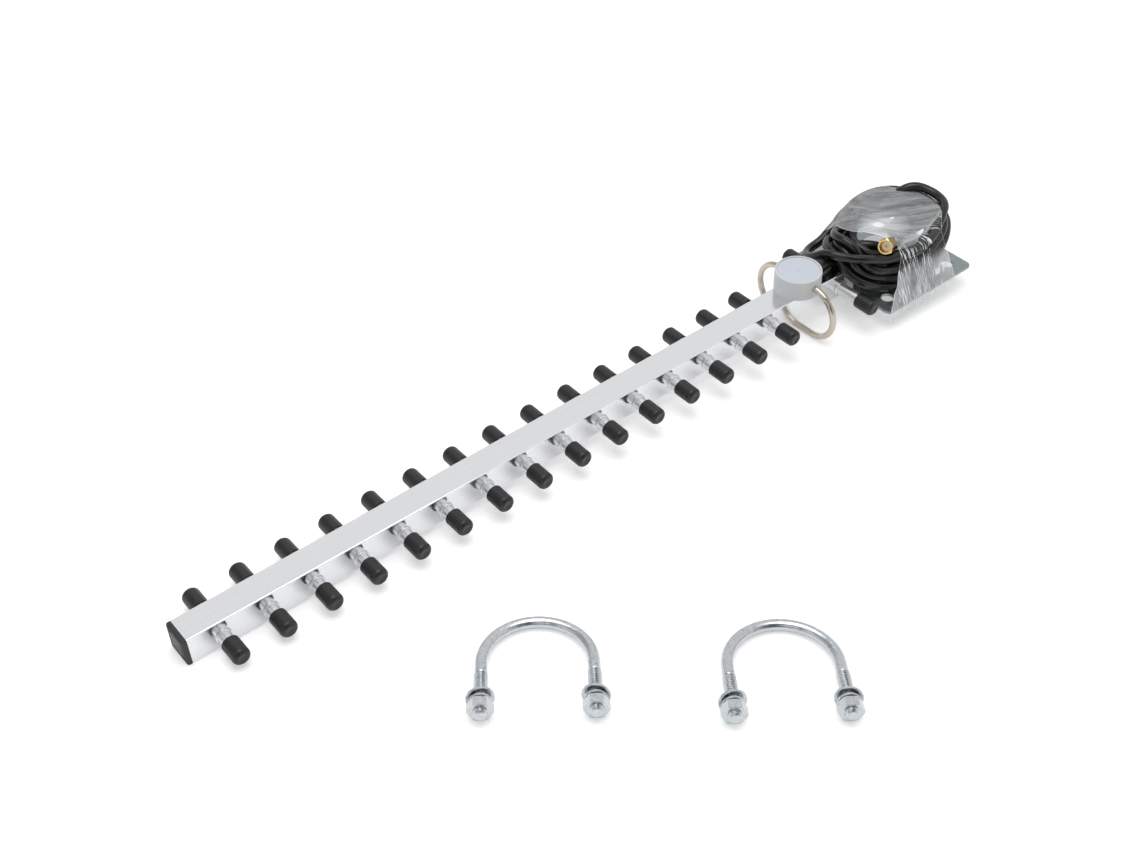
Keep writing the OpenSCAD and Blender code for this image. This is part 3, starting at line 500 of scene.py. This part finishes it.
def swell(s):
    """A soft hump that is 1 at 0 and gone at -1 and 1."""
    return max(0, 1 - s * s) ** 2


def on_oval(a, out):
    """A point at an angle round the coil's middle line, moved outward."""
    def at(b):
        u, v = coil_half[0] * math.cos(b), coil_half[1] * math.sin(b)
        return np.array([coil_middle[0] + u * math.cos(coil_lean) - v * math.sin(coil_lean),
                         coil_middle[1] + u * math.sin(coil_lean) + v * math.cos(coil_lean)])
    t = at(a + 1e-3) - at(a - 1e-3)
    t /= np.linalg.norm(t)
    return at(a) + out * np.array([t[1], -t[0]])


def wound_turns():
    """Points along the coil's turns, from the near side of the first one."""
    stations = [s for t in coil_turns for s in t]
    points = []
    for k in range(turn_points * (len(coil_turns) - 1)):
        place = k / turn_points
        i, f = int(place * 4), place * 4 % 1
        (out_a, z_a), (out_b, z_b) = stations[i], stations[i + 1]
        side, over, climb = (z_a, z_b, f) if i % 2 == 0 else (z_b, z_a, 1 - f)
        z = side + (over - side) * ease(climb / 0.85)
        out = out_a + (out_b - out_a) * ease(f)
        out += flat_out * swell((place % 1 - flat_at) / flat_width)
        for at, width, more, up in coil_strays:
            out += more * swell((place - at) / width)
            z += up * swell((place - at) / width)
        points.append((*on_oval(math.radians(-90 + 360 * place), out), z))
    return points


def smooth_line(points, steps):
    """A smooth curve through all the points."""
    p = [np.array(q, float) for q in points]
    line = []
    for k in range(len(p) - 1):
        a, b, c, d = p[max(k - 1, 0)], p[k], p[k + 1], p[min(k + 2, len(p) - 1)]
        for t in np.arange(steps) / steps:
            line.append(0.5 * (2 * b + (c - a) * t + (2 * a - 5 * b + 4 * c - d) * t ** 2
                               + (3 * b - a - 3 * c + d) * t ** 3))
    return np.array(line + [p[-1]])


def even_line(line, step):
    """The same line with its points evenly spaced."""
    s = np.concatenate([[0], np.cumsum(np.linalg.norm(np.diff(line, axis=0), axis=1))])
    at = np.linspace(0, s[-1], int(round(s[-1] / step)) + 1)
    return np.column_stack([np.interp(at, s, line[:, i]) for i in range(3)])


def box_mm(node):
    """A CAD node's lowest and highest corner in millimetres."""
    return np.round(np.array(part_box(node)) / MM, 1)


# What the lead lies on: the plate, the boom with its rear plug, the cable tie's strap and the gland
lead_rests = [box_mm("mount_plate"), (box_mm("boom")[0], box_mm("rear_plug")[1]),
              ((-38.4, -3.5, 16), (-33.6, 3.5, 22.9)), ((-38.4, -8.8, 1), (-33.6, 8.8, 17.3)),
              ((-57, -3.3, 17), (-49.2, 3.3, 25.6))]
# The plug at its end lies in the coil too: its mouth, its direction, how long it is as far as the lead,
# how long and thick its nut is, and how thick its sleeve
plug_joint = frame["joints"][0]
plug_mouth = np.round(np.array(plug_joint["pos_m"]) / MM, 1)
plug_axis = -np.round(plug_joint["axis"], 4)
plug_l, plug_nut_l, plug_nut_r, plug_sleeve_r = 24, 9.5, 4.7, 3.5
# Strands lie this far apart, the cable bends no tighter than this, and it rests this far off a surface
strand_gap, tightest_bend, skin_gap = 5.1, 12.0, 0.05
# How many points at the line's start and end stay where they are, and how many lie on or near the plug
held_start, held_end, plug_points = 24, 6, 18


def push_apart(line, a, b):
    """How strands that are too close move away from each other."""
    v = line[a] - line[b]
    apart = np.linalg.norm(v, axis=1)
    hit = apart < strand_gap
    push = ((strand_gap - apart[hit]) / apart[hit] * 0.25)[:, None] * v[hit]
    move = np.zeros_like(line)
    np.add.at(move, a[hit], push)
    np.add.at(move, b[hit], -push)
    return move


def keep_length(line, step):
    """How neighbouring points move to lie a step apart again."""
    v = line[1:] - line[:-1]
    apart = np.linalg.norm(v, axis=1)
    fix = ((apart - step) / apart * 0.25)[:, None] * v
    move = np.zeros_like(line)
    move[:-1] += fix
    move[1:] -= fix
    return move


def open_bend(line, step, reach):
    """How a bend that is too tight opens, measured over some points to either side."""
    v = (line[:-2 * reach] + line[2 * reach:]) / 2 - line[reach:-reach]
    depth = np.linalg.norm(v, axis=1) + 1e-9
    fix = (np.maximum(0, depth - (reach * step) ** 2 / (2 * tightest_bend)) / depth * 0.5)[:, None] * v
    move = np.zeros_like(line)
    move[reach:-reach] += fix
    move[:-2 * reach] -= fix / 2
    move[2 * reach:] -= fix / 2
    return move


def rest_on_parts(line, free):
    """Lifts the line out of what it lies on, and keeps it off the plug."""
    for low, high in lead_rests:
        q = np.clip(line, low, high)
        v = line - q
        apart = np.linalg.norm(v, axis=1)
        hit = (apart < lead_d / 2 + skin_gap) & (apart > 1e-6) & (free[:, 0] > 0)
        line[hit] = q[hit] + v[hit] / apart[hit][:, None] * (lead_d / 2 + skin_gap)
    t = np.clip((line[:-plug_points] - plug_mouth) @ plug_axis, -1, plug_l)
    v = line[:-plug_points] - plug_mouth - t[:, None] * plug_axis
    apart = np.linalg.norm(v, axis=1)
    push = np.maximum(0, lead_d / 2 + np.where(t < plug_nut_l, plug_nut_r, plug_sleeve_r) - apart)
    line[:-plug_points] += free[:-plug_points] * (push / apart * 0.5)[:, None] * v


def settle(line, rounds=500):
    """Lets the wound lead find its place: strands push apart, keep their length, bend no tighter than
    the cable allows, sink a little, and rest on what is under them."""
    line = line.copy()
    step = np.linalg.norm(np.diff(line, axis=0), axis=1).mean()
    for k in range(12):
        line[held_start:-held_end] = (line[held_start - 1:-held_end - 1] + 2 * line[held_start:-held_end]
                                      + line[held_start + 1:1 - held_end]) / 4
    first = line.copy()
    one, two = np.triu_indices(len(line), int(round(1.9 * strand_gap / step)))
    free = np.ones((len(line), 1))
    free[:held_start] = free[-held_end:] = 0
    for k in range(rounds):
        if k % 10 == 0:
            apart = np.linalg.norm(line[one] - line[two], axis=1)
            a, b = one[apart < strand_gap + 4], two[apart < strand_gap + 4]
        bend = np.zeros_like(line)
        bend[2:-2] = (-line[:-4] + 4 * line[1:-3] + 4 * line[3:-1] - line[4:]) / 6 - line[2:-2]
        pull = (first - line) * 0.012 * (1 - k / rounds)
        sink = np.array([0, 0, -0.004])
        line = line + free * (bend * 0.25 + pull + sink)
        for again in range(2):
            line = line + push_apart(line, a, b) * free
            line = line + keep_length(line, step) * free
            for reach in (2, 3):
                line = line + open_bend(line, step, reach) * free
            rest_on_parts(line, free)
    return line


# The start takes the place of the coil's first points, and the loose strand that of half its fifth turn
wound = wound_turns()
coil_from, loose_from, loose_to = 3, 163, 179
lead_line = smooth_line(start_route + wound[coil_from:loose_from] + loose_route + wound[loose_to:]
                        + tail_route, 5)
lead_line = settle(even_line(lead_line, 2.0))


def curve_piece(name, points, radius, finish):
    """A round curve through points in millimetres."""
    data = bpy.data.curves.new(name, "CURVE")
    data.dimensions = "3D"
    data.bevel_depth = radius * MM
    data.bevel_resolution = 6
    data.resolution_u = 2
    data.use_fill_caps = True
    spline = data.splines.new("BEZIER")
    spline.bezier_points.add(len(points) - 1)
    for k, point in enumerate(points):
        knot = spline.bezier_points[k]
        knot.co = Vector(point) * MM
        knot.handle_left_type = knot.handle_right_type = "AUTO"
    data.materials.append(finish)
    piece = bpy.data.objects.new(name, data)
    bpy.context.scene.collection.objects.link(piece)
    return piece


lead = curve_piece("coaxial_lead", [tuple(p) for p in lead_line[::2]], lead_d / 2, pvc)
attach(lead, "antenna")
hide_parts("lead_start", "lead_coil", "lead_tail")

# ---- Cable tie ----
# A natural nylon cable tie that holds the first bit of the lead down on the boom.

nylon, tree, shader = material("natural_nylon", Roughness=0.38, IOR=1.53)
where = add(tree, "ShaderNodeTexCoord")
cloud = add(tree, "ShaderNodeTexNoise", {"Vector": where.outputs["Object"], "Scale": per(2)})
tone = add(tree, "ShaderNodeMix", {0: cloud.outputs["Fac"], 6: linear("#eeece5"), 7: linear("#f8f6f1")},
           data_type="RGBA")
tree.links.new(tone.outputs[2], shader.inputs["Base Color"])
dress(nylon, "tie_nylon", "cable_tie")

# ---- Packing film ----
# A band of clear polyethylene stretch film, pulled tight round the plate and the coil and pinched into
# fine creases that run with the pull. A loose tongue of it hangs below the plate's near edge.

# The film is worked out in cuts across the boom, 1 mm apart: how far it is from a line along the middle of
# the coil, given as y and z, for every second degree round that line
film_axis = (0.0, 14.0)
film_gap = 0.2
turn_step = 2.0
turns_deg = np.arange(0, 360, turn_step)
cut_x = np.arange(-34, 37, 1.0)

# Everything that the film bears on, as balls: the lead but for the strand that rises clear of it at the
# right end, the plug's sleeve, the plate's long edges, and the heads of its two rivets
lifted = (lead_line[:, 2] > 30.5) & (lead_line[:, 0] > 12)
balls = [(*p, lead_d / 2) for p in lead_line[~lifted]]
balls += [(*(plug_mouth + plug_axis * t), plug_sleeve_r + 0.2) for t in range(10, 26)]
balls += [(x, y, z, 0.05) for x in np.arange(-33, 33.6, 0.5) for y in (-35.5, 35.5) for z in (0, 1.5)]
for side in (1, -1):
    balls += [(side * x, y, -1.25, 0.1) for x in np.linspace(-23, -17, 7) for y in (-3, 3)]
balls = np.array(balls)

# In each cut, how far the balls reach out in every direction. The cuts are then evened out along the boom,
# as a taut film does it, and the nearest of the lines that bound a cut is where the film lies.
normals = np.column_stack([np.cos(np.radians(turns_deg)), np.sin(np.radians(turns_deg))])
bears = np.full((len(cut_x), len(turns_deg)), -1e3)
for i, x in enumerate(cut_x):
    r = balls[:, 3] + film_gap
    here = np.abs(balls[:, 0] - x) < r + 0.8
    reach = np.sqrt(np.maximum(r[here] ** 2 - (balls[here, 0] - x) ** 2, 0))
    flat_pts = balls[here, 1:3] - np.array(film_axis)
    bears[i] = (flat_pts @ normals.T + reach[:, None]).max(0)
spread = 6
kernel = np.exp(-0.5 * (np.arange(-spread, spread + 1) / 2.5) ** 2)
kernel /= kernel.sum()
padded = np.vstack([bears[:1]] * spread + [bears] + [bears[-1:]] * spread)
bears = sum(kernel[k] * padded[k:k + len(bears)] for k in range(len(kernel)))
diff = np.radians(turns_deg[:, None] - turns_deg[None, :])
facing = np.where(np.cos(diff) > 0.05, np.cos(diff), np.nan)
film_r = np.nanmin(bears[:, None, :] / facing[None, :, :], axis=2)


def film_reach(x, turn):
    """How far from its axis the film is, at a place along the boom and an angle round it."""
    i = np.clip(x - cut_x[0], 0, len(cut_x) - 1.001)
    j = turn % 360 / turn_step
    i0, j0 = i.astype(int), j.astype(int) % len(turns_deg)
    fi, fj = i - i0, j % 1
    j1 = (j0 + 1) % len(turns_deg)
    return ((1 - fi) * ((1 - fj) * film_r[i0, j0] + fj * film_r[i0, j1])
            + fi * ((1 - fj) * film_r[i0 + 1, j0] + fj * film_r[i0 + 1, j1]))


# The band's two edges: angle round the axis, from under the near edge over the top, and place along the
# boom
left_edge = [(-160, -30), (-90, -27), (-22, -24), (0, -27), (40, -29), (60, -27), (90, -19), (140, -13),
             (160, -16), (185, -23), (201, -33)]
right_edge = [(-160, 18), (-90, 15), (-22, 12), (0, 14), (30, 19), (47, 22), (64, 27), (76, 30.5),
              (90, 32.3), (107, 31.3), (122, 28.5), (131, 25), (138, 21), (146, 17.8), (156, 16),
              (170, 16.5), (201, 19)]
film_rows = np.linspace(201, -150, 1200)
film_cols = np.linspace(0, 1, 131)
row, col = np.meshgrid(film_rows, film_cols, indexing="ij")
left = np.interp(row, *zip(*left_edge))
right = np.interp(row, *zip(*right_edge))
x = left + (right - left) * col
r = film_reach(x, row)
y = film_axis[0] + r * np.cos(np.radians(row))
z = film_axis[1] + r * np.sin(np.radians(row))

# Rows are kept where they lie 0.8 mm apart along the band's middle
row_step, middle = 0.8, len(film_cols) // 2
run = np.concatenate([[0], np.cumsum(np.hypot(np.diff(y[:, middle]), np.diff(z[:, middle])))])
even = np.interp(np.linspace(0, run[-1], int(run[-1] / row_step)), run, np.arange(len(run)))
pick = np.round(even).astype(int)
x, y, z, row = x[pick], y[pick], z[pick], row[pick]
along = np.repeat(run[pick][:, None], len(film_cols), 1)

# A flat panel lies taut on top as far as a fold; beyond the fold the film follows the strands down. The
# pull runs slantwise over the panel, then down across the fold
fold = np.interp(x, [-14, -11, -2, 8, 23, 33], [150, 145, 148, 147, 133, 106])
past_fold = np.radians(row - fold) * r[pick]
panel = ease(0.5 - past_fold / 1.2) * ease((row - 24) / 10)
top = (past_fold < 0) * ease((row - 15) / 25)
across = (x + 0.4 * y * ease((x - 2) / 16)) * (1 - top) + (0.65 * x + 0.76 * y) * top

# How milky the film is, and how strongly its creases show white. Over the taut panel the milkiness is
# partly real haze and partly painted sheen, the glare term is a painted highlight spot on the panel, and
# the narrow term at the fold is a painted highlight line along it
glare = np.maximum(0, 1 - (((x + 7) / 17) ** 2 + ((y + 3) / 13) ** 2)) ** 0.7
low = ease((row - 166) / 14)
milky_and_sheen = 0.03 + panel * (0.27 + 0.32 * glare) + 0.42 * low + 0.3 * np.exp(-(past_fold / 0.45) ** 2)
milky_and_sheen += 0.35 * ((col[pick] < 0.012) | (col[pick] > 0.988))
marked = (0.06 + 0.1 * ease((row - 25) / 25)
          + 0.95 * ease(past_fold / 1.5) * ease((16 - past_fold) / 6) + 0.5 * low)

# Creases: low ridges along the pull, higher beyond the fold
rng = np.random.default_rng(7)
crease = np.zeros_like(x)
for k in range(150):
    at = rng.uniform(-34, 40)
    width = rng.uniform(0.35, 1.5)
    start = rng.uniform(-5, run[-1] * 0.62)
    long = rng.uniform(8, 45)
    lean = rng.normal(0, 0.05)
    size = rng.uniform(0.12, 0.5) * width
    d = np.abs(across - at - lean * (along - start)) / width
    fade = np.clip(1 - ((along - start - long / 2) / (long / 2)) ** 2, 0, 1)
    crease += size * np.maximum(0, 1 - d) * fade
crease *= 0.3 + 1.0 * ease(past_fold / 3)
crease = np.minimum(crease, 1.4)
y += crease * np.cos(np.radians(row))
z += crease * np.sin(np.radians(row))

# The tongue below the plate's near edge, with a wavy end
tongue_rows = 6
tongue = np.arange(tongue_rows, 0, -1) / tongue_rows
hang = (3.2 + 2.6 * np.sin(film_cols * 9 + 0.6) * np.sin(film_cols * 4 + 1.2)
        + 0.6 * np.sin(film_cols * 41))
flap = np.array([[(x[0, i], y[0, i] - 0.9 * t - 0.25 * math.sin(i * 0.55) * t, z[0, i] - max(0.4, h) * t)
                  for i, h in enumerate(hang)] for t in tongue])
grid = np.concatenate([flap, np.dstack([x, y, z])])
along = np.concatenate([along[:1] - row_step * np.arange(tongue_rows, 0, -1)[:, None], along])
across, milky_and_sheen, marked = [np.concatenate([np.repeat(m[:1], tongue_rows, 0), m])
                         for m in (across, milky_and_sheen, marked)]


def grid_mesh(name, grid, finish, wrap=False, sharp=None):
    """A mesh through a grid of points in millimetres; wrap closes it round."""
    rows, cols = grid.shape[:2]
    faces = []
    for i in range(rows - 1):
        for j in range(cols if wrap else cols - 1):
            k = (j + 1) % cols
            faces.append((i * cols + j, i * cols + k, (i + 1) * cols + k, (i + 1) * cols + j))
    if wrap:
        faces += [tuple(range(cols - 1, -1, -1)), tuple(range((rows - 1) * cols, rows * cols))]
    data = bpy.data.meshes.new(name)
    data.from_pydata([tuple(p) for p in grid.reshape(-1, 3) * MM], [], faces)
    data.polygons.foreach_set("use_smooth", [True] * len(data.polygons))
    if sharp:
        data.set_sharp_from_angle(angle=math.radians(sharp))
    data.materials.append(finish)
    data.update()
    piece = bpy.data.objects.new(name, data)
    bpy.context.scene.collection.objects.link(piece)
    return piece


# One map lies along the pull and carries fine white streaks that come in patches. The other one says how
# milky the film is, painted sheen and highlights included, and how marked it is; both together make up how
# much of it shows.
film, tree, shader = material("clear_polyethylene_film", Roughness=0.2, IOR=1.5)
shader.inputs["Base Color"].default_value = linear("#eef0f3")
place = add(tree, "ShaderNodeUVMap", uv_map="pull")
fine = add(tree, "ShaderNodeMapping", {"Vector": place.outputs["UV"],
           "Scale": (per(0.588), per(11.1), 1)})
streak = add(tree, "ShaderNodeTexNoise", {"Vector": fine.outputs[0], "Scale": 1.0, "Detail": 2.0})
broad = add(tree, "ShaderNodeMapping", {"Vector": place.outputs["UV"],
            "Scale": (per(4.35), per(14.3), 1)})
patch = add(tree, "ShaderNodeTexNoise", {"Vector": broad.outputs[0], "Scale": 1.0, "Detail": 2.0})
white = add(tree, "ShaderNodeMapRange", {"Value": streak.outputs["Fac"], "From Min": 0.53,
            "From Max": 0.61}, interpolation_type="SMOOTHSTEP")
where_white = add(tree, "ShaderNodeMapRange", {"Value": patch.outputs["Fac"], "From Min": 0.38,
                  "From Max": 0.50}, interpolation_type="SMOOTHSTEP")
lines = add(tree, "ShaderNodeMath", {0: white.outputs[0], 1: where_white.outputs[0]}, operation="MULTIPLY")
look = add(tree, "ShaderNodeUVMap", uv_map="look")
part = add(tree, "ShaderNodeSeparateXYZ", {"Vector": look.outputs["UV"]})
uneven = add(tree, "ShaderNodeMapRange", {"Value": patch.outputs["Fac"], "From Min": 0.3, "From Max": 0.7,
             "To Min": 0.7, "To Max": 1.25})
# The milky map holds real haze together with the painted sheen, glare spot and fold highlight
haze = add(tree, "ShaderNodeMath", {0: part.outputs["X"], 1: uneven.outputs[0]}, operation="MULTIPLY")
more = add(tree, "ShaderNodeMath", {0: lines.outputs[0], 1: part.outputs["Y"]}, operation="MULTIPLY")
cover = add(tree, "ShaderNodeMath", {0: haze.outputs[0], 1: more.outputs[0]}, operation="ADD",
            use_clamp=True)
tree.links.new(cover.outputs[0], shader.inputs["Alpha"])
relief = add(tree, "ShaderNodeBump", {"Height": streak.outputs["Fac"], "Strength": 0.5,
             "Distance": 0.3 * MM})
tree.links.new(relief.outputs[0], shader.inputs["Normal"])

wrap = grid_mesh("stretch_film", grid, film)
corner = np.zeros(len(wrap.data.loops), int)
wrap.data.loops.foreach_get("vertex_index", corner)
for name, u, v, scale in (("pull", across, along, MM), ("look", milky_and_sheen, marked, 1)):
    layer = wrap.data.uv_layers.new(name=name)
    layer.data.foreach_set("uv", (np.column_stack([u.ravel(), v.ravel()])[corner] * scale).ravel())
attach(wrap, "antenna")
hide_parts("film_wrap")

# ---- U-bolts ----
# Two M6 U-bolts, bent cold from steel rod with the thread rolled on both legs. They lie loose beside the
# antenna, with their nuts run on to the ends and a spring washer and a flat washer on each leg.

# Where the two lie, and their sizes in millimetres: the bolt, its thread, then the nut, how far the thread
# stands out of it, and the washers
u_bolt_spots = [(-325, -103), (-245, -170)]
bolt_d, shank_d, bend_r, bolt_h, thread_l, pitch = 5.9, 5.3, 24.0, 57.0, 24.7, 1.0
thread_depth, run_out, chamfer = 0.54, 1.6, 0.9
nut_h, thread_out, spring_t, spring_d, washer_d, washer_t = 5.0, 2.4, 1.6, 10.0, 12.4, 1.4
leg_end = bend_r + shank_d / 2 - bolt_h
spring_y = leg_end + thread_out + nut_h
washer_y = spring_y + spring_t
# A loose one lies on its bend and on the rims of its flat washers, which tips it this much
lean = math.atan((washer_d - shank_d) / 2 / (bend_r - washer_y - washer_t))


def laid_down(at):
    """Where a loose U-bolt's own frame lies, in millimetres: a hair above the floor."""
    return (Matrix.Translation((at[0], at[1], rest_z(at[0]) + 0.02))
            @ Matrix.Rotation(math.atan(rest_slope), 4, "Y") @ Matrix.Rotation(math.radians(-37), 4, "Z")
            @ Matrix.Translation((0, 0, shank_d / 2 + bend_r * math.sin(lean)))
            @ Matrix.Rotation(-lean, 4, "X"))


def moved(grid, matrix):
    """A grid of points, placed by a matrix."""
    m = np.array(matrix)
    return grid @ m[:3, :3].T + m[:3, 3]


def leg_ring(y, radius, turn):
    """One ring of points round a leg."""
    return np.column_stack([bend_r + radius * np.cos(turn), np.full(len(turn), y), radius * np.sin(turn)])


def u_bolt_grid(sides=48):
    """Rings of points up one leg, round the bend and down the other, with the thread's ridges. The thread
    starts behind a chamfer and runs out into the shank."""
    steps = np.arange(0, thread_l + 2, 0.125)
    leg = leg_end + steps
    turn = 2 * np.pi * np.arange(sides) / sides
    root = bolt_d / 2 - thread_depth
    rings = []
    for s, y in zip(steps, leg):
        full = min(max((thread_l - s) / run_out, 0), 1)
        crest = bolt_d / 2 - max(0, chamfer - s) * 0.75
        flank = 1 - np.abs(2 * ((s / pitch + turn / (2 * np.pi)) % 1) - 1)
        ridge = root + (bolt_d / 2 - root) * np.clip(flank * 1.25 - 0.06, 0, 1)
        radius = shank_d / 2 * (1 - full) + ridge * full
        rings.append(leg_ring(y, np.minimum(radius, crest), turn))
    shank = np.full(sides, shank_d / 2)
    for y in np.linspace(leg[-1] + 0.6, -1, 8):
        rings.append(leg_ring(y, shank, turn))
    for a in np.radians(np.arange(0, 91, 2.5)):
        out = bend_r + shank * np.cos(turn)
        rings.append(np.column_stack([out * math.cos(a), out * math.sin(a), shank * np.sin(turn)]))
    half = np.array(rings)
    other = half[::-1][1:] * np.array([-1, 1, 1])
    return np.concatenate([half, other])


def ring_grid(inner, outer, y_low, y_high, x, rise=0.0, slit=0.0, bevel=0.12, steps=96):
    """A washer's section, swept round a leg; slit leaves it open and rise lifts one end."""
    section = [(inner, y_low + bevel), (inner + bevel, y_low),
               (outer - bevel, y_low), (outer, y_low + bevel),
               (outer, y_high - bevel), (outer - bevel, y_high),
               (inner + bevel, y_high), (inner, y_high - bevel)]
    rows = []
    for t in np.linspace(slit / 2, 2 * np.pi - slit / 2, steps):
        lift = rise * t / (2 * np.pi)
        rows.append([(x + r * math.cos(t), y + lift, r * math.sin(t)) for r, y in section])
    return np.array(rows)


for number, at in enumerate(u_bolt_spots, 1):
    bolt = grid_mesh(f"u_bolt_rod_{number}", moved(u_bolt_grid(), laid_down(at)), zinc, wrap=True,
                     sharp=50)
    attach(bolt, "antenna")
    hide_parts(f"u_bolt_{number}")

springs, washers = [], []
for number, at in enumerate(u_bolt_spots, 1):
    place = laid_down(at)
    for side, tilt in ((-1, 7), (1, -7)):
        ring = ring_grid(bolt_d / 2 + 0.1, spring_d / 2, spring_y + 0.02, spring_y + 1.25, side * bend_r,
                         rise=0.3, slit=0.17)
        springs.append(grid_mesh(f"spring_washer_{number}_{side + 2}", moved(ring, place), zinc,
                                 wrap=True, sharp=30))
        about = (Matrix.Translation((side * bend_r, washer_y + 0.75, 0))
                 @ Matrix.Rotation(math.radians(tilt), 4, "Z"))
        ring = moved(ring_grid(3.25, washer_d / 2, 0, washer_t - 0.15, 0), about)
        washers.append(grid_mesh(f"flat_washer_{number}_{side + 2}", moved(ring, place), zinc,
                                 wrap=True, sharp=30))
for group, node in ((springs, "clamp_spring_washers"), (washers, "clamp_flat_washers")):
    for piece in group:
        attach(piece, "antenna")
        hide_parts(node)
